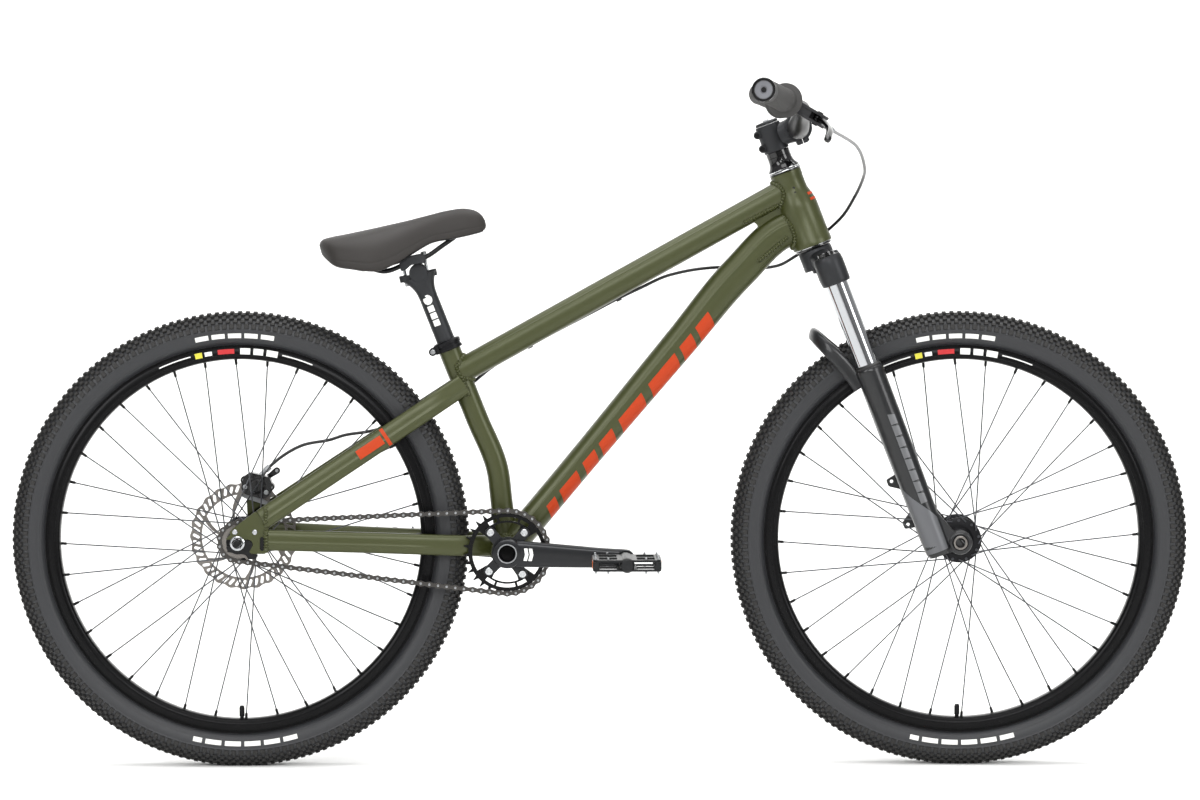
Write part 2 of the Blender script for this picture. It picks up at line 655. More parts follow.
stay_bands = [flipped(part) for part in (
    stays["seatstay"].label((0.60, 0.615), (math.pi * 0.3, -math.pi * 0.3), thickness=1.1),
    stays["seatstay"].label((0.47, 0.59), (math.pi * 0.1, -math.pi * 0.1), thickness=1.1),
)]
fit("seatstay_graphics", stay_bands, [orange], "frame", slot="olive_paint")


# Wheels. Each has a black rubber tyre with rows of small tread blocks, an inner tube with its valve, a
# boxed aluminium rim, 36 butted steel spokes laced three across, brass nipples and a turned hub.
def turn(axis, angle):
    """The matrix of a turn by some degrees about one of the three axes."""
    c, s = math.cos(math.radians(angle)), math.sin(math.radians(angle))
    i, j = {"x": (1, 2), "y": (2, 0), "z": (0, 1)}[axis]
    made = np.eye(3)
    made[i, i], made[j, j], made[i, j], made[j, i] = c, c, -s, s
    return made


def placed(part, matrix, origin):
    """The part turned by a matrix and moved to an origin."""
    return part[0] @ matrix.T + np.asarray(origin), *part[1:]


steering_turn = turn("y", -21) @ turn("z", -3)
front_turn = steering_turn @ turn("y", 21)
# The through axle's place in the steering's own frame, whose +Z runs up the steerer.
axle_in_steering = np.array([46, 0, -479])
front_axle = head_bottom + steering_turn @ axle_in_steering
# Rubber from a smooth mould has a dull sheen, and the rougher tread hardly any.
sidewall_rubber = finish("smooth sidewall rubber", "#1f2023", (0.42, 0.55), grain=2.5, depth=0.02)
tread_rubber = finish("moulded tread rubber", "#1b1a19", (0.6, 0.8), grain=1.5, depth=0.04)
# Ink on rubber, matt and a little grey.
sidewall_white = finish("white sidewall print", "#e3e3df", (0.5, 0.6), grain=2, depth=0.01)
# Anodised aluminium stays a metal under its black: smooth on the rims, with clear reflections, and
# bead-blasted on the hubs, with soft ones.
black_rim = finish(
    "black anodised aluminium", "#0f0f10", (0.24, 0.34), grain=0.8, depth=0.002, Metallic=0.8,
)
black_anodised = finish(
    "bead-blasted black aluminium", "#151517", (0.36, 0.46), grain=0.5, depth=0.003, Metallic=0.75,
)
# Drawn wire and blackened brass, each with one bright line along it.
stainless = finish("butted stainless wire", "#4c4d50", (0.3, 0.4), grain=0.5, depth=0.001, Metallic=1.0)
black_brass = finish("black oxide on brass", "#111112", (0.3, 0.4), grain=0.5, depth=0.002, Metallic=0.7)
# Glossy cut films, which mirror the room a little more than the paint below them.
white_film = finish("white vinyl film", "#e9e9e6", (0.35, 0.45), grain=2, depth=0.003)
red_film = finish("red vinyl film", "#b51f24", (0.35, 0.45), grain=2, depth=0.003)
yellow_film = finish("yellow vinyl film", "#c9c23a", (0.35, 0.45), grain=2, depth=0.003)

tyre_middle, tyre_rise, tyre_fall, tyre_half = 309.0, 21.8, 31.0, 25.6
tread_pitches, tread_root = 184, 0.6
# Rows of tread blocks: angle round the tyre's section, half width as an angle, half length as a share
# of the pitch, how far along the pitch the row is shifted, also as a share, and the height of a block.
tread_rows = [
    (0.0, 0.095, 0.29, 0.0, 4.2), (0.27, 0.095, 0.29, 0.0, 4.1), (0.54, 0.1, 0.3, 0.5, 3.9),
    (0.82, 0.1, 0.3, 0.0, 3.6), (1.07, 0.09, 0.3, 0.5, 3.0), (1.38, 0.17, 0.33, 0.0, 1.7),
]


def tyre_at(section, angle, lift=0.0):
    """Points on the tyre: an ellipse for the tread side and a longer one for the bead side, turned round
    the axle. section is 0 at the crown, and angle runs from the top toward the front."""
    reach = np.where(np.cos(section) > 0, tyre_rise, tyre_fall)
    radius = tyre_middle + (reach + lift) * np.cos(section)
    y = (tyre_half + lift) * np.sin(section)
    return np.stack(np.broadcast_arrays(radius * np.sin(angle), y, radius * np.cos(angle)), -1)


def tyre_skin():
    """The tyre's wall as a closed ring, with two fine ridges on each side above the bead."""
    section = np.linspace(-2.2, 2.2, 130)
    lines = 0.7 * np.exp(-(((np.abs(section) - 1.58) / 0.022) ** 2))
    lines += 0.6 * np.exp(-(((np.abs(section) - 2.08) / 0.03) ** 2))
    tyre_bead = np.array([[286.4, 13.6], [280.4, 12.6], [280.4, 9.6], [286.0, 10.0]])
    angle = once_round(192)[:, None]
    outer = tyre_at(section, angle, lines)
    inner = tyre_at(np.linspace(2.05, -2.05, 24), angle, -2.8)
    foot = np.stack(np.broadcast_arrays(
        tyre_bead[:, 0] * np.sin(angle), tyre_bead[:, 1], tyre_bead[:, 0] * np.cos(angle)
    ), -1)
    return skin(np.concatenate([outer, foot, inner, (foot * [1, -1, 1])[:, ::-1]], 1), along=True)


def tread():
    """All blocks of the tread: each has a foot in the wall, a smaller top, and six faces."""
    pitch = 2 * np.pi / tread_pitches
    middle = np.arange(tread_pitches) * pitch
    corners = np.array([[-1, -1], [1, -1], [1, 1], [-1, 1]])
    points = []
    for place, half, length, shift, height in tread_rows:
        for side in ((1, -1) if place else (1,)):
            for lift, size in ((-tread_root, 1.12), (height, 0.8)):
                section = side * place + corners[:, 0] * half * size
                angle = middle[:, None] + (shift + corners[:, 1] * length * size) * pitch
                points.append(tyre_at(section, angle, lift))
    points = np.array(points).reshape(-1, 2, tread_pitches, 4, 3).transpose(0, 2, 1, 3, 4).reshape(-1, 3)
    faces = np.array([[4, 5, 6, 7], [0, 1, 5, 4], [1, 2, 6, 5], [2, 3, 7, 6], [3, 0, 4, 7], [3, 2, 1, 0]])
    blocks = len(points) // 8
    return points, (faces + 8 * np.arange(blocks)[:, None, None]).reshape(-1, 4).tolist()


def tyre_label(section, arc, lift=0.25):
    """A printed bar on the sidewall between two section angles and two arcs, in degrees from the top."""
    s, a = np.meshgrid(np.linspace(*np.radians(arc), 24), np.linspace(*section, 6), indexing="ij")
    top, under = tyre_at(a, s, lift), tyre_at(a, s, -lift)
    return skin(np.concatenate([top, under[:, ::-1]], 1))


rim_outer, rim_inner, rim_half = 285.5, 264.0, 15.5
rim_side = [
    [271.5, 0], [272, 5.5], [277, 10.5], [279.3, 12.7], [285.1, 12.9], [rim_outer, 13.4],
    [rim_outer, 15.0], [285, rim_half], [283.7, rim_half], [283, 14.5], [281.8, 14.4], [281, 15],
    [272.6, rim_half], [271.6, 15.3], [271.1, 14.3], [268.3, 13.4], [266, 11.4], [264.5, 8.2],
    [rim_inner, 4], [rim_inner, 0],
]
# Rim film: arc in degrees from the top, two radii and the number of its film in the materials.
rim_films = [
    (-25, -15, 276.5, 278.2, 0), (-13.6, -11.4, 272, 280, 2), (-10.6, -8.4, 273, 279, 0),
    (-6.6, -1.6, 273, 280, 1), (0.2, 3.2, 272, 281, 0), (4.2, 7.2, 272, 281, 0), (8.2, 11.6, 272, 281, 0),
    (13, 22.5, 276.5, 278.2, 0),
]
# Printed bars on the sidewall: arcs in degrees from the top.
tyre_prints = [(-12.3, -8.6), (-7.7, -4), (-3.1, 0.6), (1.5, 5.2), (6.1, 9.8)]
tyre_prints += [(164, 168), (169, 173.5), (174.5, 179), (180, 184.5), (185.5, 190), (191, 193.5)]
spokes_per_side, first_spoke, lace_angle = 18, -1.4, 60
spoke_radius, nipple_radius, nipple_length = 1.0, 2.1, 11
flange_half = 1.6
film_low, film_high = 15.0, 15.75


def wheel(end, matrix, place, body, hub_profile, flanges, pitch):
    """Builds one wheel about its own axle and puts it in its place. flanges holds each flange's distance
    from the middle, and pitch is the radius of its spoke holes."""
    def put(name, parts, *rest, **shape):
        fit(name, [placed(part, matrix, place) for part in parts], *rest, **shape)

    put(f"{end}_tyre_rubber", [tyre_skin(), (*tread(), 1)], [sidewall_rubber, tread_rubber], body,
        [f"{end}_tyre"], "tyre")
    prints = [
        tyre_label((side * 1.77, side * 2.0), arc) for arc in tyre_prints for side in (-1, 1)
    ]
    put(f"{end}_tyre_print", prints, [sidewall_white], body, slot="tyre")
    ring = rim_side + [[r, -y] for r, y in rim_side[-2:0:-1]]
    put(f"{end}_rim_extrusion", [turned(ring, (0, 0, 0), ACROSS, 240)], [black_rim],
        body, [f"{end}_rim"], "black_metal", crease=40)
    films = []
    for start, stop, low, high, number in rim_films:
        arc = np.radians(np.linspace(start, stop, 20))
        for side in (-1, 1):
            loop = [[low, film_low], [high, film_low], [high, film_high], [low, film_high]]
            rings = np.stack([np.c_[
                radius * np.sin(arc), np.full_like(arc, side * y), radius * np.cos(arc)
            ] for radius, y in loop], 1)
            films.append((*skin(rings), number))
    put(f"{end}_rim_graphics", films, [white_film, red_film, yellow_film], body, slot="black_metal")
    tube_ring = [[304 + 17 * math.cos(t), 20 * math.sin(t)] for t in np.linspace(0, 2 * np.pi, 24)[:-1]]
    valve = [
        [0, 300], [2.9, 300], [2.9, 262], [3.7, 261.5], [3.9, 260.5], [3.9, 249.5], [2.8, 246], [0, 245.4],
    ]
    put(f"{end}_inner_tube_and_valve", [
        turned(tube_ring, (0, 0, 0), ACROSS, 96),
        turned(valve, (0, 0, 0), [0, 0, -1], 20),
    ], [black_anodised], body, [f"{end}_tube"], "rubber")
    put(f"{end}_hub_shell", [turned(hub_profile, (0, 0, 0), ACROSS, 72)],
        [black_anodised], body, [f"{end}_hub"], "black_metal")
    for side, flange_y in flanges.items():
        sign = 1 if side == "left" else -1
        number = np.arange(spokes_per_side)
        lead = np.where(number % 2 == 0, 1, -1)
        shift = 180 / spokes_per_side if sign > 0 else 0
        rim_angle = np.radians(first_spoke + shift + number * 360 / spokes_per_side)
        hub_angle = rim_angle + lead * math.radians(lace_angle)
        hub_y = sign * (flange_y + lead * (flange_half + spoke_radius))
        start = np.c_[pitch * np.sin(hub_angle), hub_y, pitch * np.cos(hub_angle)]
        stop = np.c_[
            rim_inner * np.sin(rim_angle), np.full(spokes_per_side, sign * rim_half / 4),
            rim_inner * np.cos(rim_angle),
        ]
        wires, nipples = [], []
        for a, b, out in zip(start, stop, lead):
            way = unit(b - a)
            wires.append(drum(spoke_radius, 0, np.linalg.norm(b - a) - 2, a, way, 8))
            # The head sits on the flange's far side, with its neck through the hole.
            neck = 2 * flange_half + 3.4
            head = [[0, 0], [1.9, 0.1], [2.1, 0.8], [1.1, 1.3], [1.1, neck], [0, neck]]
            head_start = a + [0, out * sign * -(neck - 1), 0]
            wires.append(turned(head, head_start, [0, out * sign, 0], 10))
            nipples.append(turned(
                [[0, 0], [1.5, 0], [nipple_radius, 2], [nipple_radius, nipple_length], [0, nipple_length]],
                b - way * (nipple_length - 3), way, 8,
            ))
        put(f"{end}_spokes_{side}_wire", wires, [stainless], body, [f"{end}_spokes_{side}"], "spokes")
        put(f"{end}_nipples_{side}", nipples, [black_brass], body, slot="black_metal")


def both_halves(half):
    """Rows across the bike, whose second number is Y, from those of the left half. A row on the middle
    plane comes once."""
    return [[row[0], -row[1], *row[2:]] for row in half[::-1] if row[1]] + half


front_hub_half = [
    [14.6, 3], [15.2, 12], [17.4, 20], [20, 25.4], [31.6, 26.4], [33, 27], [33, 29], [31.6, 29.6],
    [21, 30.4], [18.4, 34], [15.6, 38.5], [14, 40], [13, 44], [13, 49.5], [10.6, 50],
]
rear_hub_profile = [
    [5.6, -67.2], [9, -67.2], [9, -60.6], [17, -60], [17.6, -59], [17.6, -24], [19, -23.2], [30, -22.6],
    [31, -22], [31, -20], [30, -19.4], [18.4, -18.4], [16, -12], [15, 0], [16, 20], [18.6, 27.6],
    [30, 28.4], [31, 29], [31, 31], [30, 31.6], [20, 32.4], [17.2, 36], [17.2, 46.6], [26, 47],
    [26, 50.7], [17.2, 50.7], [17.2, 53], [9, 53.2], [9, 67.2], [5.6, 67.2],
]
wheel("rear", np.eye(3), rear_axle, "rear_wheel", rear_hub_profile, {"right": 21, "left": 30}, 27)
wheel("front", front_turn, front_axle, "front_wheel", both_halves(front_hub_half),
      {"right": 28, "left": 28}, 29)


# Brake rotor. Laser-cut stainless plate on six bolts: a track with slanted slots, joined to its middle
# by curved arms, so that the wheel shows through it.
def polar(radius, angle):
    """Rows of u and v at a radius and an angle in radians."""
    return np.stack(np.broadcast_arrays(radius * np.cos(angle), radius * np.sin(angle)), -1)


def arc_loop(low, high, start, stop, twist=0.0, steps=10):
    """A window between two radii and two angles. twist is how far its high edge is turned on."""
    along = np.linspace(start, stop, steps)
    up = np.linspace(0, 1, 6)[1:-1]
    radius = np.r_[np.full(steps, high), high + (low - high) * up, np.full(steps, low),
                   low + (high - low) * up]
    angle = np.r_[along + twist, stop + twist * (1 - up), along[::-1], start + twist * up]
    return polar(radius, angle)


# Ground plate has a fine even grain and reads as mid grey, and zinc plate is paler and softer.
ground_steel = finish(
    "ground stainless plate", "#807c78", (0.24, 0.36), grain=0.7, depth=0.002, Metallic=1.0,
)
zinc_bolt = finish("zinc-plated steel", "#a6a8aa", (0.25, 0.35), grain=0.6, depth=0.002, Metallic=1.0)
rotor_y, rotor_half, rotor_bolt_circle = 52, 0.95, 23.2
wave = once_round(288)
rotor_loops = [polar(78.4 + 1.2 * np.cos(24 * wave), wave), circle((0, 0), 17.5, 40)]
rotor_bolts = []
for base in np.arange(6) * math.pi / 3:
    rotor_loops.append(arc_loop(27.5, 62, base + 0.08, base + 1.0, twist=-0.45))
    across, up = polar(rotor_bolt_circle, base)
    rotor_loops.append(circle((across, up), 1.6, 10))
    rotor_bolts.append(turned(
        [[0, 0], [3.2, 0], [3.2, 1.4], [2.5, 2.2], [1.4, 2.2], [1.2, 1.0], [0, 1.0]],
        rear_axle + [across, rotor_y + rotor_half, up], ACROSS, 18, number=1,
    ))
for angle in np.arange(48) * math.pi / 24:
    rotor_loops.append(slot_loop(polar(70.3, angle), 5.6, 2.1, lean=angle - 0.5, sides=5))
fit("slotted_brake_rotor", [
    plate(rotor_loops, rotor_y - rotor_half, rotor_y + rotor_half, origin=rear_axle),
    *rotor_bolts,
], [ground_steel, zinc_bolt], "rear_wheel", ["brake_rotor"], "steel")


# Headset, bottom bracket cups and seat collar. Turned black aluminium: the conical cover over the upper
# bearing has a thin polished ring below it, and the collar closes on the post with one cross bolt.

# Polished before it was anodised, which gives hard, narrow highlights on deep black.
gloss_black = finish(
    "polished black anodised", "#0d0d0e", (0.1, 0.17), grain=1.0, depth=0.001, Metallic=0.5, Coat_Weight=0.6,
)
# Bare and buffed: it mirrors the soft boxes almost white.
polished = finish("polished aluminium", "#c6c8ca", (0.12, 0.2), grain=0.8, depth=0.001, Metallic=1.0)


def cup_ring(profile, number=0):
    """A ring about the head tube's axis, with its heights counted from the tube's lower end."""
    return turned(profile, head_bottom, head_up, 72, number=number)


fit("lower_bearing_cup", [
    cup_ring([[14.8, -3.9], [26.6, -3.9], [27.4, -3.2], [27.4, -0.3], [14.8, -0.3]]),
    cup_ring([[26, -0.8], [28, -0.8], [28.2, -0.1], [26, -0.1]], number=1),
], [gloss_black, polished], "frame", ["headset_lower_cup"], "gloss_black")
fit("upper_bearing_cup", [
    cup_ring([[14.8, 114.8], [23.6, 114.8], [24, 115.2], [24, 116.6], [14.8, 116.6]]),
    cup_ring([[15, 116.7], [24.2, 116.7], [24.5, 117.3], [24, 118], [15, 118]], number=1),
    cup_ring([[15, 118.1], [23.6, 118.1], [23.6, 118.9], [15, 118.9]]),
], [gloss_black, polished], "frame", ["headset_upper_cup"], "gloss_black")
cup_half = [
    [12.6, 43.2], [19.6, 43.2], [20.8, 42.4], [20.8, 36.4], [21.6, 35.8], [21.6, 34.6], [16.8, 34.3],
    [16.8, 10], [12.6, 10],
]
fit("bearing_cups", [
    turned([[r, side * y] for r, y in cup_half], bracket, ACROSS, 64) for side in (-1, 1)
], [black_anodised], "frame", ["bottom_bracket_unit"], "black_metal")
seat_turn = turn("y", -21.7)
collar_ring = [
    [16.6, -13.8], [19.4, -13.8], [20.2, -13], [20.2, -9.4], [19.2, -8.8], [19.2, -6], [20.2, -5.4],
    [20.6, -1], [19.8, 0.2], [17.6, 1.2], [16.0, 1.2], [16.0, 0.3], [16.6, 0.2],
]
lug_place = seat_top + seat_turn @ np.array([-23.6, 0, -7.2])
collar_lug = [
    [0, -17], [5.2, -17], [5.8, -16.2], [5.8, -2], [4.6, -1.4], [4.6, 1.4], [5.8, 2], [5.8, 16.2],
    [5.2, 17], [0, 17],
]
bolt_face = [[0, 0], [3.7, 0], [3.7, 0.9], [3.1, 1.4], [2.0, 1.4], [1.9, 0.5], [0, 0.5]]
collar_web = [[-24, -4.6], [-18, -6.4], [-14, -6.4], [-14, 6.4], [-18, 6.4], [-24, 4.6]]
fit("seat_collar", [
    turned(collar_ring, seat_top, seat_up, 72),
    turned(collar_lug, lug_place, ACROSS, 28),
    *[plate([np.array(collar_web)], low, high, origin=seat_top - 7 * seat_up,
            u=seat_turn @ [1, 0, 0], v=seat_up) for low, high in ((-15, -1), (1, 15))],
    *[turned(bolt_face, lug_place + [0, side * 17, 0], [0, side, 0], 24, number=1) for side in (-1, 1)],
], [black_anodised, zinc_bolt], "frame", ["seat_clamp"], "black_metal")


# Rear axle and nuts. A threaded steel axle and two chromed hex nuts on loose flanges hold the wheel, and
# two small bolts on each dropout hold the black insert behind the axle's slot.

# Chrome mirrors the room sharply: white where a soft box stands, dark at eye level.
hard_chrome = finish("hard chrome", "#b6b8bb", (0.06, 0.12), grain=0.8, depth=0.0005, Metallic=1.0)
thread = [[5.0 if i % 2 else 4.5, y] for i, y in enumerate(np.arange(76.0, 87.6, 0.75))]
axle_half = [[4.9, 0], [4.9, 75], *thread, [4.2, 88], [0, 88]]
fit("threaded_axle", [
    turned(both_halves(axle_half), rear_axle, ACROSS, 28),
], [insert_black], "frame", ["rear_axle"], "steel")
for sign, side in ((-1, "right"), (1, "left")):
    nut = [
        turned([[5.3, 75.1], [10.4, 75.1], [10.9, 75.7], [10.6, 77.4], [9.4, 78.2], [5.3, 78.2]],
               rear_axle, ACROSS, 48),
        turned([[5.3, 78], [8.9, 78], [8.9, 83.4], [7.9, 84.6], [5.3, 84.6]], rear_axle, ACROSS, 6),
        turned([[5.3, 84.4], [7, 84.4], [7, 84.9], [5.3, 84.9]], rear_axle, ACROSS, 24, number=1),
        turned(bolt_face, rear_axle + [-3.7, 74.6, 16.4], ACROSS, 24),
        turned(bolt_face, rear_axle + [25.3, 74.6, 16], ACROSS, 24),
    ]
    fit(f"axle_nut_{side}_chromed", [part if sign > 0 else flipped(part) for part in nut],
        [hard_chrome, black_anodised], "frame", [f"axle_nut_{side}"], "chrome")


# Chain. 12.7 mm pitch: pairs of narrow inner plates round a roller and pairs of outer plates round the
# pins, in dark steel with bright pin ends.

# Oiled and blued plates: a warm grey metal, between the black cog and the bright pins.
dark_steel = finish("blued chain steel", "#4a4846", (0.3, 0.42), grain=0.8, depth=0.004, Metallic=0.9)
chain_pitch, ring_teeth, cog_teeth, chain_line = 12.7, 30, 14, 47
plate_end, plate_waist, roller_radius = 4.2, 2.4, 3.8
ring_pitch = chain_pitch / 2 / math.sin(math.pi / ring_teeth)
cog_pitch = chain_pitch / 2 / math.sin(math.pi / cog_teeth)


def chain_pins():
    """The pins' X and Z, at equal steps round the two pitch circles and the two straight runs."""
    span = (bracket - rear_axle)[[0, 2]]
    lean, wrap = math.atan2(span[1], span[0]), math.asin((ring_pitch - cog_pitch) / np.linalg.norm(span))
    top, bottom = lean + math.pi / 2 + wrap, lean - math.pi / 2 - wrap
    rear = polar(cog_pitch, np.linspace(top, bottom + 2 * math.pi, 90)) + rear_axle[[0, 2]]
    ahead = polar(ring_pitch, np.linspace(bottom, top, 160)) + bracket[[0, 2]]
    loop = np.vstack([rear, ahead, rear[:1]])
    at = np.r_[0, np.cumsum(np.linalg.norm(np.diff(loop, axis=0), axis=1))]
    count = 2 * round(at[-1] / chain_pitch / 2)
    want = np.arange(count) * at[-1] / count
    return np.stack([np.interp(want, at, loop[:, k]) for k in range(2)], -1)


def chain_parts():
    """Plates as prisms on an outline with two round ends and a waist, and rollers and pins as drums."""
    pins = chain_pins()
    nexts = np.roll(pins, -1, 0)
    end = polar(plate_end, np.linspace(-2.1, 2.1, 11))
    waist = [[chain_pitch / 2, plate_waist]]
    outline = np.vstack([end + [chain_pitch, 0], waist, -end, waist * np.array([1, -1])])
    way = unit(nexts - pins)
    square = np.stack([-way[:, 1], way[:, 0]], -1)
    flat = pins[:, None] + outline[None, :, :1] * way[:, None] + outline[None, :, 1:] * square[:, None]
    size = len(outline)
    walls = [[i, (i + 1) % size, (i + 1) % size + size, i + size] for i in range(size)]
    prism = walls + [list(range(size))[::-1], list(range(size, 2 * size))]
    parts = []
    for link, loop in enumerate(flat):
        inner, outer = (1.9, 2.8) if link % 2 else (2.9, 3.8)
        for side in (-1, 1):
            low, high = -chain_line + side * inner, -chain_line + side * outer
            points = np.vstack([np.c_[loop[:, 0], np.full(size, y), loop[:, 1]] for y in (low, high)])
            parts.append((points, prism, 0))
    for x, z in pins:
        place = np.array([x, -chain_line, z])
        parts.append(drum(roller_radius, -1.8, 1.8, place, ACROSS, 10))
        pin = [[0, -4.4], [1.5, -4.3], [1.9, -3.9], [1.9, 3.9], [1.5, 4.3], [0, 4.4]]
        parts.append(turned(pin, place, ACROSS, 8, number=1))
    return parts


fit("roller_chain", chain_parts(), [dark_steel, zinc_bolt], "frame", ["chain"], "steel")


# Cranks, chainring and cog. Forged black arms on a hollow spindle, with a four-armed spider that holds
# the machined chainring by four bright bolts.
def sprocket(teeth, pitch):
    """A toothed outline: the root circle, and for each tooth a narrow rounded tip."""
    root, tip = pitch - 3.7, pitch + 3.6
    shape = np.array([[-0.28, root], [0.28, root], [0.37, pitch - 0.6], [0.45, tip - 0.5], [0.5, tip],
                      [0.55, tip - 0.5], [0.63, pitch - 0.6]])
    step = 2 * np.pi / teeth
    angle = (np.arange(teeth)[:, None] + shape[:, 0]) * step
    return polar(np.broadcast_to(shape[:, 1], angle.shape), angle).reshape(-1, 2)


fit("steel_cog", [
    plate([sprocket(cog_teeth, cog_pitch), circle((0, 0), 17.9, 40)], -chain_line - 1.1, -chain_line + 1.1,
          origin=rear_axle),
], [ground_steel], "rear_cog", ["rear_cog"], "steel", bevel=0.2, steps=1)

# Forged and turned black aluminium: the arms have broad soft highlights, and the ring finer ones.
forged_black = finish(
    "forged black anodised", "#1f2022", (0.3, 0.4), grain=1.0, depth=0.004, Metallic=0.7, Coat_Weight=0.2,
)
machined_black = finish(
    "machined black aluminium", "#131314", (0.22, 0.3), grain=0.6, depth=0.002, Metallic=0.75,
)
bolt_circle, pad_radius = 38, 8.6
bolt_angles = np.radians([52, 132, -132, -52])


def to_bolt(angle):
    """The angle from each of the given ones to the nearest bolt."""
    return np.abs((angle[:, None] - bolt_angles + np.pi) % (2 * np.pi) - np.pi).min(1)


# The ring's middle is open, out to 51 mm at the sides and 43.5 mm elsewhere, with a round pad at each bolt.
ring_angle = np.linspace(-np.pi, np.pi, 360, endpoint=False)
side_window = np.minimum(np.abs(ring_angle), np.pi - np.abs(ring_angle)) < math.radians(38)
beside_bolt = bolt_circle * np.sin(to_bolt(ring_angle))
toward_bolt = bolt_circle * np.cos(to_bolt(ring_angle))
pad_edge = toward_bolt - np.sqrt(np.clip(pad_radius**2 - beside_bolt**2, 0, None))
ring_hole = np.where(beside_bolt < pad_radius, pad_edge, np.where(side_window, 51.0, 43.5))
ring_loops = [sprocket(ring_teeth, ring_pitch), polar(ring_hole, ring_angle)]
for middle in (90, -90):
    for start, stop in ((-16, 16), (-36, -20), (20, 36)):
        ring_loops.append(arc_loop(46.2, 51.6, *np.radians([middle + start, middle + stop])))
crank_turn = turn("y", 2.5)
arm_inner, arm_outer, arm_length, pedal_flare, eye_radius = 57.5, 74.5, 172.0, 8.0, 13.8


def crank_arm():
    """A forged arm on the left side, pointing ahead: a tube of squarish section that leans outward along
    its length and ends in a half round, with the boss and the pedal eye."""
    along = np.array([14, 30, 60, 100, 138, 158, arm_length])
    lean = np.interp(along, [14, 34, 138], [0, 0, 1])
    deep = np.interp(along, [14, 60, 140, arm_length], [19.2, 17.6, 14.4, eye_radius])
    tip = np.linspace(0.25, 1.45, 6)
    along = np.r_[along, arm_length + eye_radius * np.sin(tip)]
    lean = np.r_[lean, np.ones(len(tip))]
    deep = np.r_[deep, eye_radius * np.cos(tip)]
    middle = (arm_inner + arm_outer) / 2 + pedal_flare * lean
    rows = np.c_[along, middle, 0 * along, np.full(len(along), 8.3), deep]
    boss = [
        [12.3, 50.6], [21, 50.6], [21.5, 51.4], [21.5, 72.4], [20.2, 74.3], [17.4, 75], [14.4, 75],
        [13.8, 74.5], [12.3, 74.3],
    ]
    eye = [[0, 66], [12.4, 66], [13.6, 67], [13.6, 81.6], [12.6, 82.8], [7.4, 82.8], [6.8, 81.6], [0, 81.6]]
    return [
        Tube(rows, 90, 0.5).skin(44, 90),
        turned(boss, (0, 0, 0), ACROSS, 72),
        turned([[12.3, 74.4], [14.2, 74.6], [14, 75.2], [12.6, 75.2]], (0, 0, 0), ACROSS, 64, number=1),
        turned(eye, (arm_length, 0, 0), ACROSS, 48),
        drum(6, 60, 182, (arm_length, 0, 0), ACROSS, 24, number=1),
    ]


spider_angle = np.linspace(-np.pi, np.pi, 240, endpoint=False)
spider_edge = 23 + 22.5 * np.exp(-((to_bolt(spider_angle) / math.radians(14.5)) ** 4))
bolt_head = [[0, 55], [5.4, 55], [5.4, 57.4], [4.6, 58.1], [2.8, 58.1], [2.5, 56.8], [0, 56.8]]
bolt_places = [(x, 0, z) for x, z in polar(bolt_circle, bolt_angles)]
chevron = [
    rounded([[at, -9], [at + 5, -9], [at + 7, 0], [at + 5, 9], [at, 9], [at + 2, 0]], 0.6)
    for at in (24, 31)
]
right_parts = [flipped(part) for part in (
    *crank_arm(),
    plate([polar(spider_edge, spider_angle), circle((0, 0), 13, 40)], 50.6, 56.2),
    *[plate([loop], 74.6, 75.15, number=2) for loop in chevron],
    *[turned(bolt_head, place, ACROSS, 28, number=3) for place in bolt_places],
)]
fit("crank_arm_right_forged", [placed(part, crank_turn, bracket) for part in right_parts],
    [forged_black, zinc_bolt, white_film, polished], "cranks", ["crank_arm_right"], "black_metal")
left_turn = crank_turn @ turn("y", 180)
left_parts = [placed(part, left_turn, bracket) for part in crank_arm()]
spindle = [[11.2, -70], [11.9, -71], [11.9, 71], [11.2, 70]]
left_parts += [placed(part, crank_turn, bracket) for part in (
    turned(spindle, (0, 0, 0), ACROSS, 48), drum(11.3, -40, 40, (0, 0, 0), ACROSS, 32, number=2),
)]
fit("crank_arm_left_forged", left_parts, [forged_black, zinc_bolt, dark_hole], "cranks",
    ["crank_arm_left"], "black_metal")
ring_plate = flipped(plate(ring_loops, chain_line - 1.4, chain_line + 1.4))
pads = [flipped(drum(8.4, 46, 50.3, place, ACROSS, 28)) for place in bolt_places]
fit("machined_chainring", [placed(part, crank_turn, bracket) for part in [ring_plate, *pads]],
    [machined_black], "cranks", ["chainring"], "black_metal", bevel=0.25, steps=1)


# Pedals. Die-cast platforms on steel axles, with a row of traction pins along each edge of both faces
# and an orange reflector in a pocket at each end.

# Die-cast metal is a little uneven and soft in its highlights, and a reflector is glossy and clear.
cast_black = finish("die-cast black aluminium", "#202122", (0.3, 0.45), grain=1.6, depth=0.02, Metallic=0.6)
reflector = finish(
    "amber reflector plastic", "#d9661b", (0.08, 0.14), grain=3, depth=0.03, Coat_Weight=0.8,
)
pedal_inner, pedal_outer, pedal_half, pedal_thick = 91, 187, 49, 8.3


def box_loop(x0, x1, y0, y1, radius):
    """A rectangle's outline with its corners rounded."""
    return rounded([[x0, y0], [x1, y0], [x1, y1], [x0, y1]], radius)


